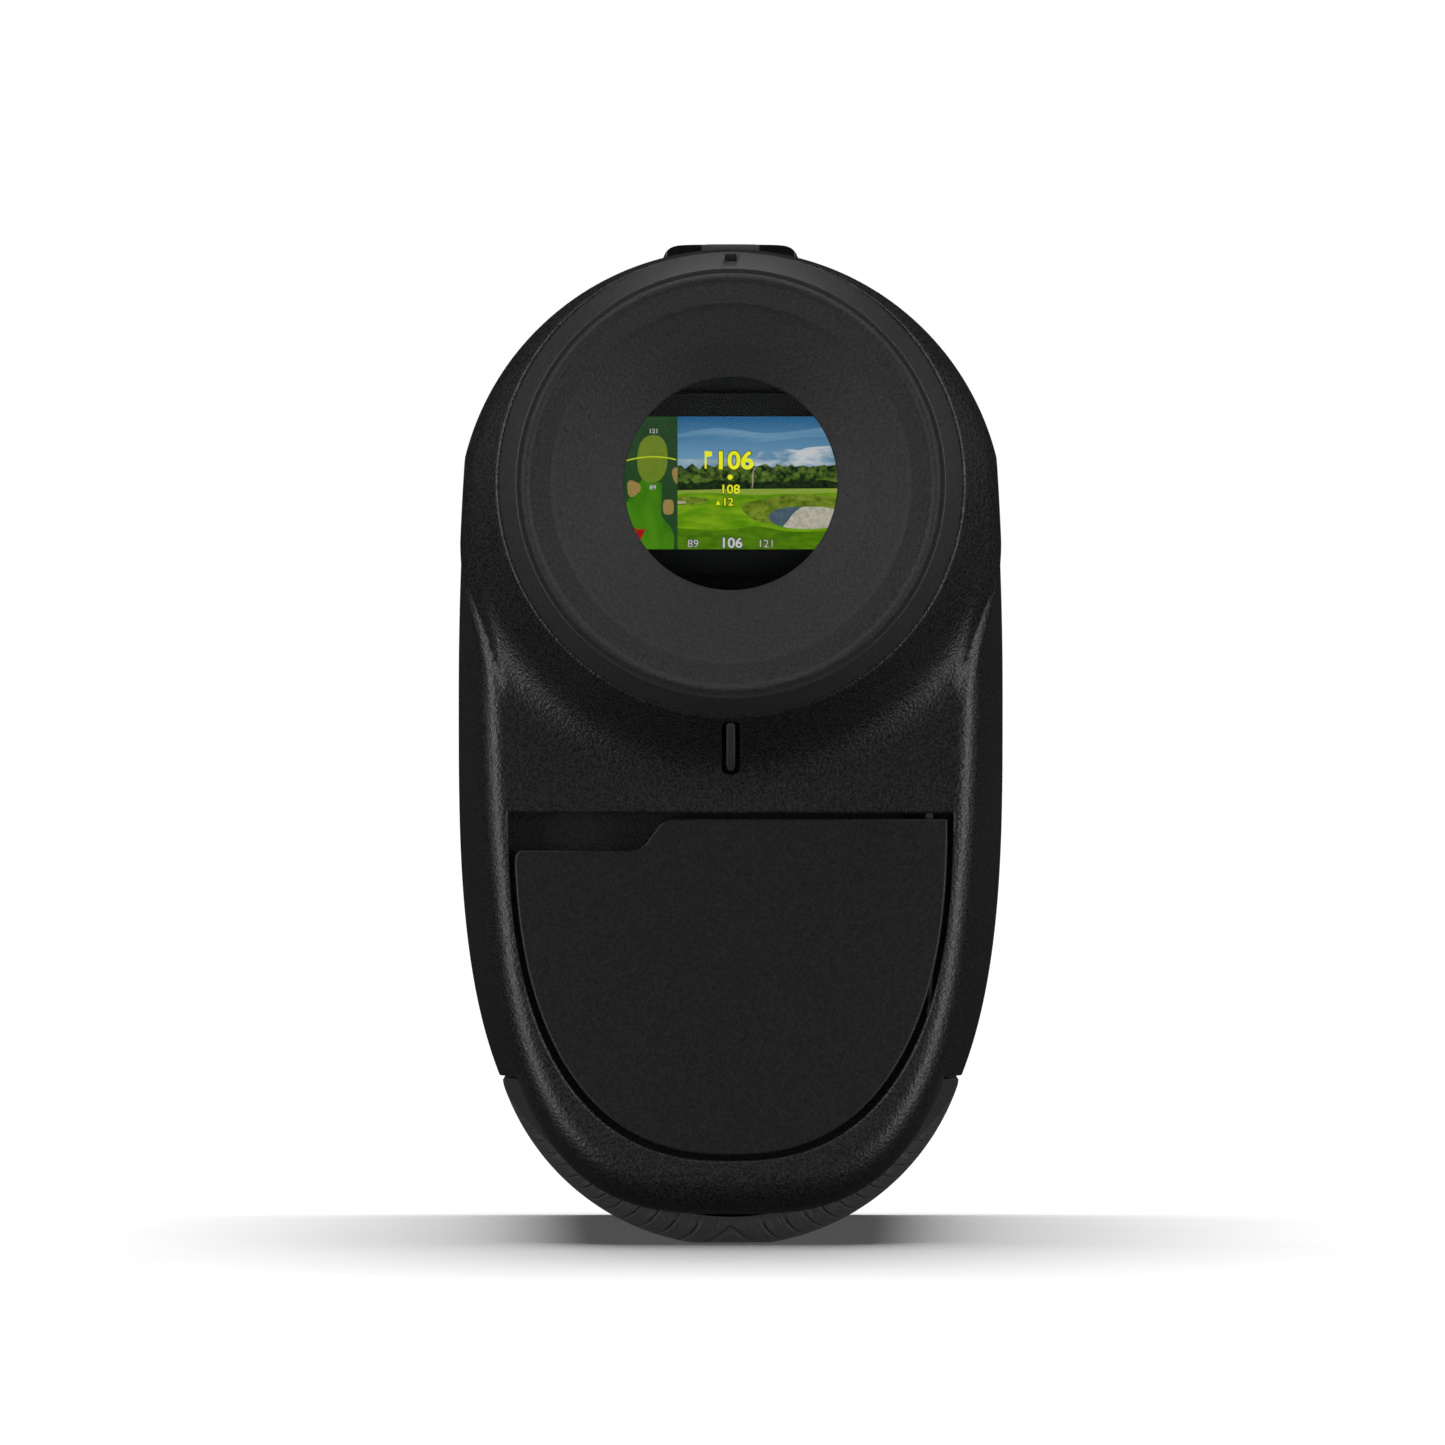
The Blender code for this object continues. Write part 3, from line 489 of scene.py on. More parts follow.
SHELL = surface("shell_plastic", (0.0090, 0.0091, 0.0094), 0.41, 0.18, 0.032, 0.9, level=0.42, leather=0.26)
COVER = surface("cover_plastic", (0.0080, 0.0081, 0.0084), 0.46, 0.16, 0.012, 0.3, level=0.34)
RUBBER = surface("grip_rubber", (0.0240, 0.0240, 0.0244), 0.70, 0.2, 0.020, 0.25, sheen=0.05)
CUP = surface("cup_rubber", (0.0155, 0.0155, 0.0160), 0.66, 0.16, 0.040, 0.5, level=0.36, leather=0.30,
              sheen=0.03)
RING = surface("ring_plastic", (0.0220, 0.0222, 0.0230), 0.45, 0.14, 0.008, 0.2)
GLOSS = surface("gloss_black", (0.0060, 0.0060, 0.0065), 0.16, 0.5, 0.001, 0.15, level=0.14)
BLACK = surface("matt_black", (0.0070, 0.0070, 0.0075), 0.70, 0.3, 0.006, 0.2)
STEEL = surface("steel", (0.52, 0.52, 0.53), 0.30, 0.15, 0.002, 0.08, metal=1.0)
BRASS = surface("brass", (0.70, 0.50, 0.24), 0.30, 0.15, 0.002, 0.08, metal=1.0)
GLASS = surface("clear_glass", (0.93, 0.97, 0.98), 0.03, 2.0, 0.0, 0.02, clear=1.0, ior=1.02, coat=0.12)
COATED = surface("coated_glass", (0.55, 0.50, 0.80), 0.04, 2.0, 0.0, 0.05, clear=0.85, ior=1.45, coat=1.0)
WINDOW = surface("window_glass", (0.30, 0.16, 0.14), 0.05, 2.0, 0.0, 0.05, clear=0.9, ior=1.1, coat=1.0)


# ---- rear shell ----
def rear_face_rings(hand_over):
    """Rings from the collar's bore out to the rounded rear edge; each point's y is found on the shell.
    They are circles round the eyepiece up to the fillet, and then turn into the body's outline."""
    rim_x, rim_z = outline_points(hand_over)
    bearing = np.arctan2(rim_x, EYE_Z - rim_z)
    reach = np.hypot(rim_x, EYE_Z - rim_z)
    room = reach - 0.5
    circles = [BORE, 16.4, 17.1, 17.5, 17.72, 17.82, 17.88, 17.94, 18.0, 18.1]
    circles += [18.1 + 0.28 * k for k in range(1, 23)]
    bends = [r - np.where(r > room - 0.5, r - room + 0.5 * np.exp(-(r - room + 0.5) / 0.5), 0.0)
             for r in (np.full_like(room, c) for c in circles)]
    last = bends[-1]
    rim = np.minimum(REAR_EDGE + 0.4, (reach - last) * 0.6)
    bends += [last + (reach - rim - last) * k / 56 for k in range(1, 56)]
    bends += [reach - rim * (1 - math.sin(math.pi / 2 * k / 18)) for k in range(18)]
    rings = []
    for radius in bends:
        x, z = radius * np.sin(bearing), EYE_Z - radius * np.cos(bearing)
        y = bisect(lambda depth: shell_distance(x, depth, z), np.full_like(x, INNER_Y),
                   np.full_like(x, COLLAR_Y - 1))
        rings.append(list(zip(x, y, z)))
    rings.append([(x, hand_over, z) for x, z in zip(rim_x, rim_z)])
    return rings, list(zip(BORE * np.sin(bearing), EYE_Z - BORE * np.cos(bearing)))


def cover_recess():
    outline = cover_outline(COVER_HALF + COVER_GAP, COVER_TOP + COVER_GAP, COVER_DEPTH + COVER_GAP * 2,
                            COVER_POWER + 0.06)
    return slab(outline, [(RECESS_Y, 0), (REAR_Y + 0.24, 0), (REAR_Y + 0.12, 0.05), (REAR_Y + 0.02, 0.16),
                          (REAR_Y - 0.04, 0.3), (REAR_Y - 2, 0.3)])


def hinge_rod(radius, low, high):
    return stack([[(HINGE_X + radius * math.cos(a), HINGE_Y + radius * math.sin(a), z) for a in full_turn(32)]
                  for z in (low, high)])


def build_rear_shell():
    """One closed skin: rear face, flanks, lip at the seam, inner wall and bore; then its openings."""
    hand_over = REAR_Y + 1.0
    rings, bore = rear_face_rings(hand_over)
    stations = [hand_over + 0.3 * k for k in range(1, 18)] + list(np.linspace(-43.0, -0.35, 20))
    rings += [ring(y) for y in stations]
    rings += [ring(SEAM_Y, 0.3), ring(SEAM_Y, 0.75), ring(SEAM_Y + SEAM_LIP, 0.75)]
    rings += [inside_ring(y) for y in (SEAM_Y + SEAM_LIP, -20.0, -36.0, INNER_Y)]
    rings += [[(x, INNER_Y, z) for x, z in bore]]
    shell = new_piece("rear_shell", stack(rings, closed=True), "body", "rear_housing", SHELL, 30)
    combine(shell, [box((-7.2, INNER_Y - 0.5, 13.6), (7.2, -34.5, 24.4))], "UNION", 30)
    port = rounded_box((-4.85, 17.0), (4.85, 21.0), 1.9, 8)
    light_slot = rounded_box((-0.68, PIPE_LOW.z - 0.2), (0.68, PIPE_HIGH.z + 0.1), 0.68 * 0.6, 5)
    combine(shell, [cover_recess(),
                    box((13.2, -48.5, 20.0), (17.0, -47.2, COVER_TOP + 0.3)),
                    box((-6.0, -48.5, 15.0), (6.0, -41.5, 23.0), 0.4),
                    slab(port, [(-42.0, 0), (-34.0, 0)]),
                    hinge_rod(0.38, 15.8, 34.7),
                    slab(light_slot, [(-57.0, 0), (-48.0, 0)]),
                    grip_recess(GRIP_LOW.y - 0.15, 5.0)], sharp=30)


# ---- front shell, nose and window ----
def build_front_shell():
    start = FRONT_LOW.y
    rings = [inside_ring(start), ring(start, 0.3)]
    rings += [ring(y) for y in np.linspace(start + 0.35, FRONT_Y - 0.35, 30)]
    rings += [ring(FRONT_Y, 0.3)] + [inside_ring(y) for y in (FRONT_Y, 40.0, 20.0)]
    shell = new_piece("front_shell", stack(rings, closed=True), "body", "front_housing", SHELL, 30)
    pocket = slab(rounded_box((-5.6, 74.9), (5.6, 79.0), 0.2, 3),
                  [(PANEL_LOW.y - 0.15, 0), (PANEL_HIGH.y + 0.15, 0)])
    combine(shell, [pocket, grip_recess(-5.0, GRIP_HIGH.y + 0.15)], sharp=30)


def build_nose():
    start = NOSE_LOW.y
    stations = [start + 0.25] + list(np.linspace(start + 1, NOSE_Y - 0.8, 14))
    rings = [ring(FRONT_Y - 0.02, 0.75), ring(start, 0.75), ring(start, 0.25)] + [ring(y) for y in stations]
    rings += [ring(NOSE_Y - 0.8 + 0.8 * math.sin(a), 0.8 * (1 - math.cos(a)))
              for a in (math.pi / 2 * k / 6 for k in range(1, 7))]
    nose = new_piece("front_nose", stack(rings), "body", "front_bezel", GLOSS)
    opening = [(50.0, 0), (59.6, 0), (60.2, 0.12), (60.7, 0.45), (61.0, 1.0), (63.0, 3.0)]
    combine(nose, [slab(pill(12.0, 29.5, WAIST_Z), opening),
                   slab(pill(13.3, 30.8, WAIST_Z), [(50.0, 0), (58.8, 0)])])
    window = [(WINDOW_LOW.y, -0.15), (WINDOW_LOW.y + 0.15, 0), (WINDOW_HIGH.y - 0.15, 0),
              (WINDOW_HIGH.y, -0.15)]
    new_piece("front_glass", slab(pill(13.0, 30.5, WAIST_Z), window), "body", "front_window", WINDOW)


def lens_profile(rear, front, radius, bulge, steps=14):
    """Both faces bulge out from the rim; the profile runs from the rear pole to the front pole."""
    curve = [(1 - (1 - k / steps) ** 2) for k in range(steps + 1)]
    back = [(rear - bulge * c, radius * math.sqrt(max(0.0, 1 - c))) for c in curve[::-1]]
    front_side = [(front + bulge * c, radius * math.sqrt(max(0.0, 1 - c))) for c in curve]
    return [(y, max(r, 0.02)) for y, r in back + front_side]


def build_front_optics():
    """Tubes with stepped light baffles, and their lenses."""
    for name, finish in (("camera", COATED), ("receiver", GLASS), ("emitter", GLASS)):
        tube_name = "camera_barrel" if name == "camera" else f"{name}_tube"
        low, high = span(tube_name)
        centre, radius = (low.z + high.z) / 2, high.x
        inner = radius - 1.0
        profile = [(low.y, inner), (low.y, radius - 0.15), (low.y + 0.15, radius), (high.y - 0.3, radius),
                   (high.y, radius - 0.3), (high.y, inner + 0.35), (high.y - 0.15, inner + 0.2)]
        profile += [(50.6, inner + 0.2), (50.6, inner)]
        for k in range(14):
            y = 49.5 - 2.0 * k
            profile += [(y, inner), (y - 0.2, inner + 0.3), (y - 1.0, inner + 0.3)]
        new_piece(f"{name}_tube_baffled", turned(profile, centre, steps=128), "body", tube_name, BLACK, 30)
        shape = turned(lens_profile(51.6, 54.0, inner - 0.1, 0.55), centre, steps=128, closed=False)
        new_piece(f"{name}_lens_polished", shape, "body", f"{name}_lens", finish)


# ---- belly grip ----
GROOVE_PITCH = 2.8            # along Y
GROOVE_WIDTH = 0.62
GROOVE_DEPTH = 0.3
GROOVE_START = 0.8            # forward run for each millimetre outward, close to the middle of the belly
GROOVE_GAIN = 1.4             # how much steeper the grooves get towards the flanks
GROOVE_REACH = 6.0            # millimetres over which they get steeper
GROOVE_BEND = 0.5             # roundness of the chevrons' tips


def groove_sweep(along):
    """How far forward a groove has gone at a distance from the middle of the belly."""
    arch = GROOVE_START * (math.sqrt(along * along + GROOVE_BEND ** 2) - GROOVE_BEND)
    return arch + GROOVE_GAIN * (along - GROOVE_REACH * (1 - math.exp(-along / GROOVE_REACH)))


def grip_row(v, groove, turns, outer_turn, inner_turn):
    """One row of points round the crescent: it follows a groove, and rolls in at both ends."""
    start, end = GRIP_LOW.y, GRIP_HIGH.y
    outer, inner = [], []
    for t in turns:
        y = min(max(v + groove_sweep(outer_turn * abs(t) * GRIP_RADIUS), start), end)
        near = min(y - start, end - y)
        roll = 1 - math.sqrt(1 - (1 - min(near / 2.8, 1.0)) ** 2)
        inside = Vector((GRIP_INNER * math.sin(inner_turn * t), y,
                         GRIP_INNER_Z - GRIP_INNER * math.cos(inner_turn * t)))
        outside = Vector((GRIP_RADIUS * math.sin(outer_turn * t), y,
                          max(0.0, GRIP_Z - GRIP_RADIUS * math.cos(outer_turn * t))))
        beyond = max(0.0, math.hypot(outside.x, outside.z - GRIP_LINE_Z) - GRIP_LINE)
        # the skin draws in towards both edges
        tuck = 0.2 * max(0.0, (abs(t) - 0.35) / 0.65) ** 1.5 + 0.08 * max(0.0, (abs(t) - 0.97) / 0.03) ** 2
        sunk = groove * GROOVE_DEPTH * min(1.0, near / 0.3, (1 - abs(t)) / 0.04)
        sunk += beyond * roll + 0.06 * roll + tuck
        inward = (inside - outside).normalized()
        outer.append(tuple(outside + inward * sunk))
        inner.append(tuple(inside))
    return outer + inner[::-1]


def build_grip(steps=200):
    """Chevron grooves in the rubber, their apexes to the rear."""
    start, end = GRIP_LOW.y, GRIP_HIGH.y
    outer_turn = math.acos((GRIP_Z - GRIP_EDGE_Z) / GRIP_RADIUS)
    inner_turn = math.acos((GRIP_INNER_Z - GRIP_EDGE_Z) / GRIP_INNER)
    turns = [1 - 2 * i / steps for i in range(steps + 1)]
    shape_of = (turns, outer_turn, inner_turn)
    first = start + 0.5 - GROOVE_PITCH * math.ceil(groove_sweep(outer_turn * GRIP_RADIUS) / GROOVE_PITCH + 1)
    half = GROOVE_WIDTH / 2
    rows = [grip_row(first - 2.0, 0.0, *shape_of)]
    for k in range(int((end - first) / GROOVE_PITCH) + 1):
        middle = first + k * GROOVE_PITCH
        for offset, groove in ((-half, 0.0), (-half * 0.3, 1.0), (half * 0.3, 1.0), (half, 0.0),
                               (half + 0.6, 0.0), (half + 1.15, 0.0), (half + 1.7, 0.0)):
            rows.append(grip_row(middle + offset, groove, *shape_of))
    rows.append(grip_row(end + 1.0, 0.0, *shape_of))
    new_piece("grip_skin", stack(rows), "body", "belly_grip", RUBBER, 30)


# ---- eyepiece ----
def build_eyepiece():
    """Eyecup, ring with its index notch and two cam slots, eye lens, and the barrel with lugs and slots."""
    cup = rounded([(-57.6, 15.35), (-59.95, 15.35), (-59.95, 15.98), (-60.65, 16.05), (-61.0, 15.72),
                   (-60.72, 15.3), (-60.62, 13.75), (-60.35, 13.4), (-59.2, 10.6), (-57.95, 8.22),
                   (-57.6, APERTURE)], [0.1, 0.02, 0.05, 0.3, 0.25, 0.2, 0.3, 0.5, 1.2, 0.1, 0.05], 5)
    new_piece("eyecup_soft", turned(cup, steps=256), "diopter", "eyecup", CUP, 30)
    ring_points = rounded([(-56.95, 15.25), (-56.25, RING_RADIUS - 0.4), (-57.25, RING_RADIUS - 0.13),
                           (-59.7, 16.4), (-59.7, 15.72), (-57.3, 15.72), (-57.3, 13.4), (-46.5, 13.4),
                           (-46.5, 15.2), (-56.6, 15.2)],
                          [0.05, 0.12, 0.16, 0.12, 0.05, 0.05, 0.05, 0.1, 0.1, 0.02], 5)
    ring_piece = new_piece("diopter_grip_ring", turned(ring_points, steps=256), "diopter", "diopter_ring",
                           RING, 30)
    cutters = [box((-0.45, -60.5, EYE_Z + 16.95), (0.45, -57.5, EYE_Z + 17.55))]
    for turn in (0.0, math.pi):
        rows = []
        for i in range(25):
            a = math.radians(80) * (i / 12.0 - 1)
            middle = -50.6 + 0.955 * a
            rows.append([(r * math.cos(a + turn), middle + h, EYE_Z + r * math.sin(a + turn))
                         for r, h in ((13.0, -0.8), (13.0, 0.8), (14.4, 0.8), (14.4, -0.8))])
        cutters.append(stack(rows))
    combine(ring_piece, cutters, sharp=30)
    eye = turned(lens_profile(-51.4, -48.7, 8.95, 0.95), steps=128, closed=False)
    new_piece("eye_lens_polished", eye, "lens_carriage", "eye_lens", GLASS)
    barrel = [(-57.0, 12.2), (-57.0, 12.75), (-56.85, 12.9), (-54.6, 12.9), (-54.6, 12.3), (-53.4, 12.3),
              (-53.4, 12.9), (-41.4, 12.9), (-41.4, 12.2)]
    barrel_piece = new_piece("eyepiece_barrel_turned", turned(barrel, steps=160), "body", "eyepiece_barrel",
                             BLACK, 30)
    lugs = [box((12.4, -45.7, EYE_Z - 4), (16.7, -44.3, EYE_Z + 4), 0.2),
            box((-16.7, -45.7, EYE_Z - 4), (-12.4, -44.3, EYE_Z + 4), 0.2),
            box((-4, -45.7, EYE_Z - 16.7), (4, -44.3, EYE_Z - 12.4), 0.2)]
    combine(barrel_piece, lugs, "UNION", 30)
    slots = []
    for side in (-1, 1):
        outline = rounded_box((-52.65, EYE_Z - 0.8), (-48.55, EYE_Z + 0.8), 0.75, 6)
        slots.append(stack([[(x, y, z) for y, z in outline] for x in (side * 11.0, side * 14.0)]))
    combine(barrel_piece, slots, sharp=30)


# ---- port cover, seal, socket ----
def build_cover():
    """The D with a finger notch cut from its upper left corner, and the ribbed plug behind it."""
    notch = COVER_TOP - NOTCH_DROP
    outline = [p for p in cover_outline(COVER_HALF, COVER_TOP, COVER_DEPTH, COVER_POWER)
               if not (p[0] < NOTCH_X and p[1] > notch - 0.02)]
    outline += [(-COVER_HALF + 0.12, notch - 0.35), (-COVER_HALF + 0.45, notch), (-7.8, notch),
                (-7.1, notch + 0.1), (-6.55, notch + 0.5), (-5.5, COVER_TOP - 0.5), (-5.0, COVER_TOP - 0.12),
                (-4.4, COVER_TOP)]
    front = COVER_LOW.y
    steps = [(COVER_HIGH.y, -0.1), (COVER_HIGH.y - 0.1, 0), (front + 0.2, 0), (front + 0.07, -0.05),
             (front + 0.015, -0.13), (front, -0.24)]
    cover = new_piece("port_cover_plate", slab(outline, steps), "cover", "port_cover", COVER, 35)
    combine(cover, [hinge_rod(0.42, 15.0, 36.0)], sharp=35)
    plug = rounded_box((-5.55, 15.45), (5.55, 22.55), 1.1, 6)
    ribs = [(SEAL_LOW.y, -0.35), (SEAL_LOW.y + 0.2, -0.3), (SEAL_LOW.y + 0.35, 0), (SEAL_LOW.y + 0.5, 0),
            (SEAL_LOW.y + 0.6, -0.25), (SEAL_LOW.y + 0.75, -0.25), (SEAL_LOW.y + 0.85, 0),
            (SEAL_LOW.y + 1.0, 0), (SEAL_HIGH.y, -0.3)]
    new_piece("port_seal_ribbed", slab(plug, ribs), "cover", "port_cover_seal", RUBBER, 35)


def build_socket():
    low, high = span("usb_socket")
    middle = (low.z + high.z) / 2
    half, height = high.x, (high.z - low.z) / 2

    def oval(grow):
        return rounded_box((-half - grow, middle - height - grow), (half + grow, middle + height + grow),
                           (height + grow) * 0.98, 10)
    can = slab(oval(0.0), [(low.y, -0.08), (low.y + 0.08, 0), (high.y, 0)])
    socket = new_piece("usb_socket_shell", can, "body", "usb_socket", STEEL, 35)
    combine(socket, [slab(oval(-0.33), [(low.y - 1, 0), (high.y - 1.1, 0)])], sharp=35)
    tongue = box((-3.3, low.y + 0.6, middle - 0.35), (3.3, high.y - 1.3, middle + 0.35), 0.12)
    new_piece("usb_tongue", tongue, "body", None, BLACK, 35)
    for k in range(8):
        x = -2.45 + 0.7 * k
        strip = box((x - 0.14, low.y + 0.9, middle + 0.33), (x + 0.14, high.y - 2.0, middle + 0.38))
        new_piece(f"usb_contact_{k + 1}", strip, "body", None, BRASS, 35)


# ---- key strip, keys and light bar ----
def build_key_strip():
    """A gloss strip: steep rear face with a sloping middle band, flat top, rounded shoulders."""
    base, high, start, end = PANEL_LOW.z, PANEL_HIGH.z, PANEL_LOW.y, PANEL_HIGH.y
    shoulders = [(5.4, 0.20), (5.33, 0.45), (5.2, 0.80), (5.05, 1.10), (4.88, 1.32), (4.68, 1.48),
                 (4.4, 1.60), (4.1, 1.67), (3.6, 1.71), (3.0, 1.73), (2.3, 1.74), (2.2, 1.745), (1.2, 1.75)]
    columns = shoulders + [(-x, z) for x, z in shoulders[::-1]]
    shares = (0.12, 0.3, 0.5, 0.7, 0.86, 0.95, 0.97, 0.985, 1.0)
    rings = []
    for x, z in columns:
        height = z * (high - base) / 1.75
        run, knee = (1.25, 0.86) if abs(x) < 2.25 else (0.5, 0.95)
        nose = [(start + run * min(h, knee) + 0.30 * max(0.0, h - knee) / (1 - knee) * (0.4 + 0.6 * h),
                 base + height * h) for h in shares]
        tail = [(end - 0.5, base + height), (end - 0.15, base + height * 0.97), (end, base + height * 0.85)]
        rings.append([(x, y, w) for y, w in [(start, base)] + nose + tail + [(end, base)]])
    strip = new_piece("key_strip", stack(rings), "body", "top_key_panel", GLOSS, 25)
    cuts = []
    for name in ("range_key", "mode_key"):
        low, top = span(name)
        outline = pill(top.x + 0.2, (top.y - low.y) / 2 + 0.2, (top.y + low.y) / 2, 20)
        cuts.append(upright(outline, [(base - 1, 0), (high - 0.25, 0), (high + 0.05, 0.2), (high + 1, 0.2)]))
    combine(strip, cuts, sharp=25)


def stand(shape, widen, middle, lengthen, height):
    """Turn a shape made round the Y axis upright, stretched along X and Y."""
    for vert in shape.verts:
        x, along, across = vert.co
        vert.co = (x * widen, middle + across * lengthen, height + along)


def build_keys():
    """Caps with a soft edge; the long key has a finger dish, the short one two raised bars."""
    for name in ("range_key", "mode_key"):
        low, high = span(name)
        middle, half_length = (low.y + high.y) / 2, (high.y - low.y) / 2
        outline = pill(high.x, half_length, middle, 28)
        steps = [(75.75, -0.05), (75.8, 0)] + [(high.z - 0.3 + 0.3 * math.sin(a), -0.3 * (1 - math.cos(a)))
                                               for a in (math.pi / 2 * k / 6 for k in range(7))]
        body = name.replace("key", "button")
        cap = new_piece(f"{name}_cap", upright(outline, steps), body, name, GLOSS, 30)
        stem = turned([(low.z, 1.05), (low.z + 0.15, 1.2), (76.2, 1.2)], 0.0, 48, closed=False)
        stand(stem, 1.0, middle, 1.0, 0.0)
        if name == "range_key":
            bowl = [(r * r * 0.016, r) for r in (0.01, 0.7, 1.4, 2.1, 2.8, 3.5, 4.2)] + [(2.0, 4.2)]
            dish = turned(bowl, 0.0, 64, closed=False)
            stand(dish, 0.4, middle, 1.2, high.z - 0.16)
            combine(cap, [dish], sharp=30)
        else:
            bars = [box((-1.1, middle + s - 0.16, high.z - 0.4), (1.1, middle + s + 0.16, high.z + 0.2))
                    for s in (-0.7, 0.7)]
            combine(cap, bars, sharp=30)
        combine(cap, [stem], "UNION", 30)


def build_light_bar():
    outline = [(-55.0, 39.8), (-54.9, 39.55), (-50.3, 36.15), (-50.1, 36.1), (-43.8, 36.1), (-43.8, 39.8)]
    half = PIPE_HIGH.x - 0.05
    edge = 0.12
    rows = [[(x, y, z) for y, z in grown(outline, -inset)]
            for x, inset in ((-half, edge), (-half + edge, 0.0), (half - edge, 0.0), (half, edge))]
    new_piece("light_bar", stack(rows), "body", "status_light_pipe",
              surface("frosted_pipe", (0.040, 0.040, 0.0415), 0.45, 0.2, 0.003, 0.1), 30)


# ---- display ----
NUMERAL_LAYER = 12
PICTURE_TOP = 5.16            # these heights are measured from the eyepiece axis
PICTURE_LOW = -4.93
HORIZON = 0.0
TREE_BASE = -0.33
MAP_EDGE = -4.04
PICTURE_SIDE = DISPLAY_HIGH.x - 0.6


def layer_y(layer):
    """The layers of the picture lie one in front of the other, clear of the glass."""
    return DISPLAY_LOW.y - 0.03 - 0.012 * layer


def patch(name, points, finish, layer):
    """A flat lit patch in the display, from points given as (x, z above the eyepiece axis)."""
    shape = bmesh.new()
    y = layer_y(layer)
    shape.faces.new([shape.verts.new((x, y, EYE_Z + z)) for x, z in points])
    bmesh.ops.triangulate(shape, faces=shape.faces)
    face_viewer(new_piece(name, shape, "body", None, finish))


def face_viewer(piece):
    """Turn every face of a flat piece towards the eye, which looks along +Y."""
    for polygon in piece.data.polygons:
        if polygon.normal.y > 0:
            polygon.flip()
    piece.data.update()


def blob(centre, half_x, half_z, power=2.0, wave=0.0, lobes=3, phase=0.0, lean=0.0):
    """A superellipse with a wavy edge."""
    points = []
    for a in full_turn(64):
        c, s = math.cos(a), math.sin(a)
        r = 1 + wave * math.sin(lobes * a + phase)
        x = half_x * r * math.copysign(abs(c) ** (2 / power), c)
        z = half_z * r * math.copysign(abs(s) ** (2 / power), s)
        points.append((centre[0] + x + lean * z, centre[1] + z))
    return points


def curve(points, steps=12):
    """A smooth open curve through the points."""
    made = []
    ends = [points[0], *points, points[-1]]
    for a, b, c, d in zip(ends, ends[1:], ends[2:], ends[3:]):
        for i in range(steps):
            t = i / steps
            made.append(tuple(0.5 * (2 * b[k] + (c[k] - a[k]) * t
                                     + (2 * a[k] - 5 * b[k] + 4 * c[k] - d[k]) * t * t
                                     + (3 * b[k] - a[k] - 3 * c[k] + d[k]) * t ** 3) for k in (0, 1)))
    return made + [points[-1]]


def strip_along(points, width):
    """The outline of a line of the given width."""
    left, right = [], []
    for i, here in enumerate(points):
        before, after = points[max(0, i - 1)], points[min(len(points) - 1, i + 1)]
        along = Vector((after[0] - before[0], after[1] - before[1])).normalized()
        side = Vector((-along.y, along.x)) * width / 2
        left.append((here[0] + side.x, here[1] + side.y))
        right.append((here[0] - side.x, here[1] - side.y))
    return left + right[::-1]


def numeral(name, text, x, z, height, bold, finish, outline):
    """Numerals in Blender's own font, as a flat mesh before its outline; height is that of a digit."""
    for suffix, swell, look, step in (("_edge", bold + 0.055, outline, -0.5), ("", bold, finish, 0.0)):
        text_curve = bpy.data.curves.new(name + suffix, "FONT")
        text_curve.body = text
        text_curve.size = height * MM / 0.7
        text_curve.offset = swell * MM
        text_curve.align_x = "CENTER"
        text_curve.fill_mode = "BOTH"
        holder = add_object("numeral", text_curve)
        bpy.context.view_layer.update()
        mesh = bpy.data.meshes.new_from_object(holder)
        bpy.data.objects.remove(holder)
        y = layer_y(NUMERAL_LAYER + step)
        for vert in mesh.vertices:
            vert.co = (x * MM + vert.co.x * 1.08, y * MM, (EYE_Z + z) * MM + vert.co.y)
        made = add_object(name + suffix, mesh)
        mesh.materials.clear()
        mesh.materials.append(look)
        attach(made, "body")
        face_viewer(made)


def ground(edge):
    """The patch of ground below a smooth edge, down to the lower side of the picture."""
    return curve(edge) + [(PICTURE_SIDE, PICTURE_LOW), (MAP_EDGE, PICTURE_LOW)]


def woods(step, count, height, waves):
    """The patch of trees whose crowns follow a sum of waves, each given as (size, turns, phase)."""
    def crown(k):
        return height + sum(size * math.sin(turns * k + phase) for size, turns, phase in waves)
    crowns = [(MAP_EDGE + step * k, crown(k)) for k in range(count)]
    return ([p for p in crowns if p[0] < PICTURE_SIDE]
            + [(PICTURE_SIDE, TREE_BASE - 0.1), (MAP_EDGE, TREE_BASE - 0.1)])


def right_of_map(points):
    """The points with those behind the map moved to its edge."""
    return [(max(x, MAP_EDGE), z) for x, z in points]


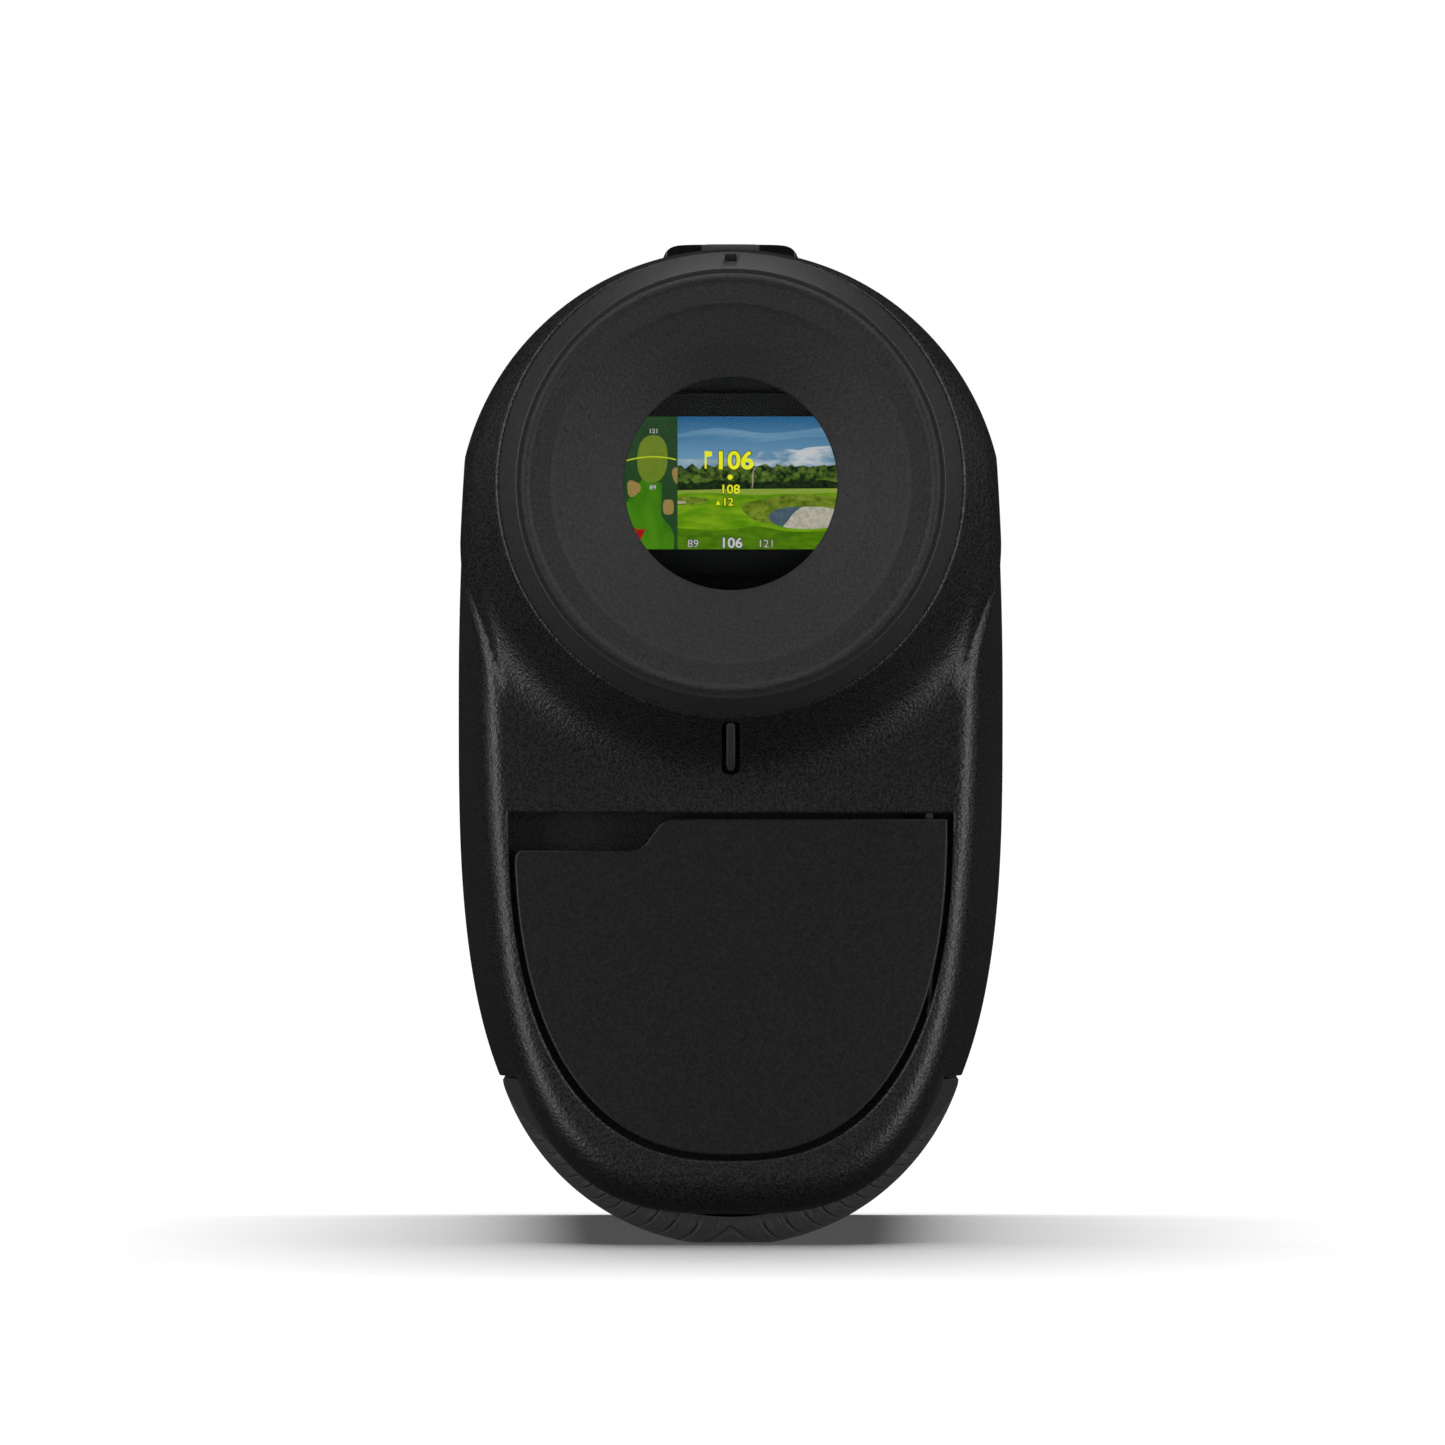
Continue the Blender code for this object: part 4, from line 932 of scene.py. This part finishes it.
def build_display():
    face, side = DISPLAY_LOW.y, PICTURE_SIDE
    panel = rounded_box((DISPLAY_LOW.x, DISPLAY_LOW.z), (DISPLAY_HIGH.x, DISPLAY_HIGH.z), 0.3, 4)
    glass = surface("display_black", (0.006, 0.006, 0.006), 0.35, 1.0, 0.001, 0.1, level=0.2)
    new_piece("display_glass", slab(panel, [(face, -0.1), (face + 0.1, 0), (DISPLAY_HIGH.y, 0)]), "body",
              "display_panel", glass, 35)
    sky = glow("sky", (38, 92, 132), (112, 152, 180), rise=(EYE_Z + 5.0, EYE_Z + 1.2))
    haze = glow("sky_cloud", (96, 134, 160), (190, 192, 194), 1.6, (0.5, 1, 1.4), low=0.42, high=0.62)
    streak = glow("sky_streak", (70, 118, 152), (108, 144, 170), 2.4, (0.25, 1, 2.0))
    tree = glow("trees", (16, 32, 14), (96, 122, 44), 0.42, (1, 1, 1), 6.0, 0.40, 0.66)
    dark_tree = glow("tree_shade", (8, 18, 10), (36, 56, 26), 0.35, (1, 1, 1), 5.0)
    green = glow("putting_green", (122, 146, 50), (140, 158, 66), 1.0, (0.2, 1, 2))
    grass = glow("fairway", (78, 128, 10), (122, 160, 22), 0.8, (0.45, 1, 1.6), 6.0)
    low_grass = glow("near_grass", (58, 98, 8), (84, 124, 14), 0.6, (0.6, 1, 1.5), 6.0)
    rough = glow("rough_grass", (72, 94, 16), (124, 140, 44), 0.4, (0.7, 1, 1.2), 6.0)
    sand = glow("sand", (158, 150, 132), (186, 180, 166), 0.3)
    shade = glow("bunker_shade", (58, 76, 88), (78, 96, 106), 0.5)
    patch("picture_sky", [(MAP_EDGE, HORIZON), (side, HORIZON), (side, PICTURE_TOP), (MAP_EDGE, PICTURE_TOP)],
          sky, 0)
    patch("picture_streak", curve([(MAP_EDGE, 3.8), (-1, 4.3), (3, 3.9), (8, 4.4), (side, 4.0)])
          + curve([(side, 3.5), (6, 3.6), (2, 3.2), (-2, 3.5), (MAP_EDGE, 3.2)]), streak, 1)
    patch("picture_cloud", curve([(1.7, 1.6), (2.3, 2.55), (3.2, 2.5), (4.2, 2.7), (5.2, 2.6), (6.3, 2.85),
                                  (side, 3.0)]) + [(side, 1.2), (1.7, 1.2)], haze, 1)
    patch("picture_low_haze", [(MAP_EDGE, 1.2), (1.9, 1.2), (1.9, 2.0), (MAP_EDGE, 1.9)],
          glow("low_haze", (104, 138, 162), (150, 168, 178), 1.2, (0.3, 1, 1.6)), 1)
    patch("picture_trees", woods(0.28, 52, 1.35, ((0.16, 1.9, 0.0), (0.10, 4.7, 1.0))), tree, 2)
    patch("picture_tree_shade", woods(0.35, 42, 0.18, ((0.14, 2.6, 0.0), (0.08, 5.9, 0.0))), dark_tree, 3)
    trunk = curve([(1.62, TREE_BASE), (1.68, 0.3), (1.64, 0.8), (1.85, 1.25)], 5)
    bark = glow("bark", (120, 118, 96), (160, 156, 130), 0.2)
    patch("picture_trunk", strip_along(trunk, 0.09), bark, 4)
    patch("picture_green", [(MAP_EDGE, TREE_BASE - 0.12), (0, TREE_BASE - 0.02), (side, TREE_BASE + 0.04),
                            (side, -0.95), (MAP_EDGE, -0.95)], green, 4)
    edge = [(MAP_EDGE, -0.72), (-2, -0.62), (1, -0.78), (4, -0.72), (side, -0.6)]
    patch("picture_fairway", ground(edge), grass, 5)
    edge = [(MAP_EDGE, -3.3), (-1, -3.5), (2, -3.2), (5, -3.6), (side, -3.3)]
    patch("picture_near_grass", ground(edge), low_grass, 6)
    patch("picture_rough", blob((5.6, -1.95), 4.7, 1.15, 2.2, 0.04, 5), rough, 7)
    bank = blob((-3.6, -1.25), 1.9, 0.32, 2.0, 0.05, 4, lean=0.8)
    patch("picture_left_rough", right_of_map(bank), rough, 7)
    patch("picture_left_sand", right_of_map(blob((-3.9, -1.37), 0.5, 0.1)), sand, 8)
    hollow = blob((5.8, -2.52), 2.9, 0.85, 2.3, 0.02, 3)
    patch("picture_bunker_shade", hollow, shade, 8)
    lit = [p for p in hollow if p[0] > 4.6 + 0.96 * (p[1] + 2.5)]
    upper = [p for p in lit[:len(lit) // 2] if p[1] > -2.52]
    lower = [p for p in lit if p[1] <= -2.52]
    brink = curve([(5.35, -1.75), (5.0, -2.0), (4.6, -2.4), (4.35, -2.75), (3.95, -3.2)], 5)
    patch("picture_bunker", upper + brink + lower, sand, 9)
    build_map()
    build_numerals()


def build_map():
    left = -PICTURE_SIDE
    wood = glow("map_rough", (34, 62, 34), (38, 72, 36), 2.0)
    lawn = glow("map_fairway", (48, 104, 14), (72, 128, 20), 1.6, (1.0, 1, 0.5))
    turf = glow("map_green", (94, 116, 28), (112, 130, 38), 0.18)
    sand = glow("map_sand", (136, 112, 62), (158, 132, 78), 0.16)
    lime = glow("map_line", (170, 190, 20), (196, 210, 30), 1.0)
    patch("map_base", [(left, PICTURE_LOW), (MAP_EDGE, PICTURE_LOW), (MAP_EDGE, PICTURE_TOP),
                       (left, PICTURE_TOP)], wood, 1)
    fairway = (curve([(-6.75, 0.4), (-6.8, -0.3), (-7.0, -1.1), (-7.5, -1.75), (-8.6, -2.4)], 8)
               + [(-8.9, PICTURE_LOW), (-4.36, PICTURE_LOW)]
               + curve([(-4.3, -4.4), (-4.34, -3.8), (-4.7, -3.1), (-5.2, -2.5), (-5.42, -1.8), (-5.3, -0.8),
                        (-5.25, 0.1)], 8))
    patch("map_fairway_patch", fairway, lawn, 2)
    patch("map_green_patch", blob((-5.95, 1.95), 1.13, 1.83, 2.35, 0.03, 2, 0.6), turf, 4)
    patch("map_sand_left", blob((-7.4, -0.3), 0.5, 0.6, 2.2, 0.12, 3, 1.2), sand, 3)
    patch("map_sand_right", blob((-4.74, -1.72), 0.36, 0.68, 2.6, 0.16, 2, 1.57), sand, 3)
    patch("map_sand_edge", [p for p in blob((-4.0, 0.72), 0.45, 0.62, 2.2, 0.1, 3) if p[0] < MAP_EDGE]
          + [(MAP_EDGE, 0.2), (MAP_EDGE, 1.3)][::-1], sand, 3)
    arc = [(-5.9 + 7.0 * math.sin(a), -4.85 + 6.95 * math.cos(a)) for a in
           (math.radians(-21 + 37 * i / 24) for i in range(25))]
    patch("map_arc", strip_along([p for p in arc if p[0] < MAP_EDGE], 0.09), lime, 6)
    red = glow("map_pointer", (150, 18, 20), (170, 26, 26), 1.0)
    pointer = [(-7.5 + 0.62 * math.cos(a), -3.98 + 0.62 * math.sin(a)) for a in
               (math.radians(-50 + 175 * i / 20) for i in range(21))]
    patch("map_pointer_ring", strip_along(pointer, 0.16), red, 6)
    patch("map_pointer_tip", [(-7.2, -3.45), (-6.45, -3.38), (-6.75, -4.0)], red, 6)


def build_numerals():
    yellow = glow("numeral_yellow", (222, 220, 20), (236, 234, 40), 2.0)
    olive = glow("numeral_edge", (60, 62, 20), (70, 72, 26), 2.0)
    pale = glow("numeral_pale", (186, 188, 186), (204, 205, 204), 2.0)
    grey = glow("numeral_pale_edge", (66, 72, 58), (74, 80, 66), 2.0)
    for name, text, x, z, height, bold in (("range_number", "106", 0.25, 1.2, 1.3, 0.05),
                                           ("slope_number", "108", -0.05, -0.68, 0.66, 0.012),
                                           ("height_number", "12", -0.22, -1.6, 0.58, 0.008)):
        numeral(name, text, x, z, height, bold, yellow, olive)
    for name, text, x, z, height, bold in (("front_number", "89", -2.86, -4.78, 0.58, -0.008),
                                           ("middle_number", "106", 0.05, -4.8, 0.74, 0.02),
                                           ("back_number", "121", 2.7, -4.78, 0.58, -0.008),
                                           ("map_far_number", "121", -5.86, 3.9, 0.33, 0.0),
                                           ("map_near_number", "89", -5.92, -0.38, 0.33, 0.0)):
        numeral(name, text, x, z, height, bold, pale, grey)
    for name, points in (("flag_pole", [(-1.98, 1.2), (-1.83, 1.2), (-1.83, 2.54), (-1.98, 2.54)]),
                         ("flag_cloth", [(-1.83, 2.08), (-1.42, 2.14), (-1.42, 2.48), (-1.83, 2.54)]),
                         ("aim_dot", blob((-0.05, 0.55), 0.2, 0.2)),
                         ("height_mark", [(-1.12, -1.55), (-0.8, -1.55), (-0.96, -1.18)])):
        patch(name, points, yellow, NUMERAL_LAYER)


# ---- CAD nodes that stay ----
def dress_cad_nodes():
    """Give every node of the frame a finish by what it is made of; the ones not named are steel."""
    board = surface("circuit_board", (0.010, 0.075, 0.035), 0.42, 0.5, 0.004, 0.3)
    chip = surface("chip_black", (0.018, 0.018, 0.020), 0.5, 0.2, 0.003, 0.2)
    foil = surface("battery_wrap", (0.42, 0.44, 0.47), 0.36, 0.8, 0.004, 0.1)
    frame_grey = surface("moulded_grey", (0.060, 0.060, 0.064), 0.55, 0.25, 0.006, 0.15)
    ceramic = surface("ceramic", (0.66, 0.63, 0.54), 0.45, 0.2, 0.003, 0.08)
    film = surface("flex_film", (0.42, 0.22, 0.04), 0.38, 0.6, 0.003, 0.15)
    plans = {
        "housing_seal focus_o_ring": RUBBER,
        "main_board usb_board camera_sensor_board receiver_board key_board": board,
        "processor range_switch mode_switch": chip,
        "battery": foil,
        "battery_bracket optical_chassis": frame_grey,
        "gps_antenna": ceramic,
        "display_flex": film,
        "lens_cell lens_retainer display_bracket cover_hinge_pin": BLACK,
        "range_switch_plunger mode_switch_plunger": BLACK,
        "laser_diode vibration_weight": BRASS,
    }
    known = {name: finish for names, finish in plans.items() for name in names.split()}
    for name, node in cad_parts.items():
        node.data.materials.clear()
        node.data.materials.append(known.get(name, STEEL))


# ---- stage ----
FLOOR_LIFT = 0.0012           # metres; how far the floor rises beside the belly
FLOOR_GLOW = 0.06
ROOM_GREY = 0.012             # what the object reflects where no lamp is
SUN_SPREAD = math.radians(60)
CAMERA_PLACE = (-0.00063, -4.022, 0.03985)
CAMERA_LENS = 1294.0          # a very long lens, because the photo has hardly any perspective


def smooth_rise(value, start, end):
    t = min(1.0, max(0.0, (value - start) / (end - start)))
    return t * t * (3 - 2 * t)


def area_light(name, place, aim, size, energy):
    light = bpy.data.lights.new(name, "AREA")
    light.shape = "RECTANGLE"
    light.size, light.size_y = size
    light.energy = energy
    lamp = add_object(name, light)
    lamp.location = place
    lamp.rotation_euler = (Vector(aim) - Vector(place)).to_track_quat("-Z", "Y").to_euler()
    return lamp


def build_floor():
    """A pale sheet, level under the object; it rises a little beside and behind it, and falls in front."""
    across = [0.0, 0.004, 0.005, 0.006, 0.007, 0.008, 0.009, 0.0095, 0.03, 0.1, 0.5, 3.0]
    across = [-x for x in across[:0:-1]] + across
    lines = [(-3.0, -0.060), (-0.60, -0.0115), (-0.30, -0.0055), (-0.20, -0.0038), (-0.15, -0.0031),
             (-0.12, -0.0026), (-0.09, -0.0019), (-0.07, -0.0011), (-0.058, -0.0004), (-0.046, -0.00002),
             (-0.030, -0.00002), (-0.010, -0.00002), (0.010, -0.00002), (0.030, -0.00002), (0.050, -0.00002),
             (0.062, -0.00002), (0.08, 0.0001), (0.12, 0.0006), (0.20, 0.0018), (3.0, 0.046)]
    shape = bmesh.new()
    rows = []
    for y, level in lines:
        lift = FLOOR_LIFT * min(1.0, max(0.0, (y + 0.030) / 0.080))
        rows.append([shape.verts.new((x, y, level + lift * smooth_rise(abs(x), 0.004, 0.0095)))
                     for x in across])
    for low, high in zip(rows, rows[1:]):
        for i in range(len(across) - 1):
            shape.faces.new((low[i], low[i + 1], high[i + 1], high[i]))
    mesh = bpy.data.meshes.new("floor")
    shape.to_mesh(mesh)
    shape.free()
    mesh.shade_smooth()
    floor = add_object("floor", mesh)
    pale = surface("pale_floor", (0.85, 0.85, 0.85), 0.95, 30.0, 0.0, 0.01, level=0.0)
    shader = pale.node_tree.nodes["Principled BSDF"]
    shader.inputs["Emission Color"].default_value = (1, 1, 1, 1)
    shader.inputs["Emission Strength"].default_value = FLOOR_GLOW
    mesh.materials.append(pale)
    floor.visible_glossy = False
    floor.visible_diffuse = False
    floor.visible_shadow = False
    return floor


def build_stage():
    """Floor, surroundings and lamps."""
    floor = build_floor()
    build_world()
    build_lights(floor)


def build_world():
    """White where the camera looks past the object, and nearly dark for everything that reflects it."""
    world = bpy.data.worlds.new("studio")
    world.use_nodes = True
    tree = world.node_tree
    tree.nodes.clear()
    ray = tree.nodes.new("ShaderNodeLightPath")
    blend = tree.nodes.new("ShaderNodeMixShader")
    out = tree.nodes.new("ShaderNodeOutputWorld")
    tree.links.new(ray.outputs["Is Camera Ray"], blend.inputs["Fac"])
    for slot, grey in ((1, ROOM_GREY), (2, 1.0)):
        shade = tree.nodes.new("ShaderNodeBackground")
        shade.inputs["Color"].default_value = (grey, grey, grey, 1)
        tree.links.new(shade.outputs["Background"], blend.inputs[slot])
    tree.links.new(blend.outputs["Shader"], out.inputs["Surface"])
    bpy.context.scene.world = world


def build_lights(floor):
    """The floor takes light from a sun of its own; all the other lights leave it out."""
    groups = {}
    for state in ("INCLUDE", "EXCLUDE"):
        groups[state] = bpy.data.collections.new(f"floor_{state.lower()}")
        groups[state].objects.link(floor)
        groups[state].collection_objects[0].light_linking.link_state = state
    for name, energy, tilt, state in (("overhead", 1.75, 0, "EXCLUDE"), ("floor_light", 3.72, 11, "INCLUDE")):
        sun = bpy.data.lights.new(name, "SUN")
        sun.energy = energy
        sun.angle = SUN_SPREAD
        lamp = add_object(name, sun)
        lamp.rotation_euler = (math.radians(-tilt), 0, 0)
        lamp.light_linking.receiver_collection = groups[state]
    middle = (0, 0, 0.04)
    for name, place, size, energy in (("front_fill", (0.0, -1.5, 0.10), (2.6, 1.1), 1.4),
                                      ("low_fill", (0.0, -0.9, -0.75), (1.6, 0.5), 0.25),
                                      ("left_flank", (-1.4, 0.0, 0.40), (0.7, 0.7), 1.0),
                                      ("right_flank", (1.4, 0.0, 0.40), (0.7, 0.7), 1.0),
                                      ("left_strip", (-0.82, -0.52, 0.1), (0.22, 1.6), 9.0),
                                      ("right_strip", (0.82, -0.52, 0.1), (0.22, 1.6), 9.0)):
        lamp = area_light(name, place, middle, size, energy)
        lamp.light_linking.receiver_collection = groups["EXCLUDE"]


def build_camera():
    camera = bpy.data.cameras.new("camera")
    camera.sensor_width = 36.0
    camera.lens = CAMERA_LENS
    camera.clip_end = 50.0
    camera.clip_start = 0.1
    camera.dof.use_dof = False
    holder = add_object("camera", camera)
    holder.location = CAMERA_PLACE
    holder.rotation_euler = (math.pi / 2, 0, 0)
    bpy.context.scene.camera = holder
    bpy.context.scene.view_settings.view_transform = "Standard"
    bpy.context.scene.view_settings.look = "None"


build_camera()
build_stage()
dress_cad_nodes()
build_rear_shell()
build_front_shell()
build_nose()
build_front_optics()
build_grip()
build_eyepiece()
build_cover()
build_socket()
build_key_strip()
build_keys()
build_light_bar()
build_display()

bpy.context.view_layer.update()
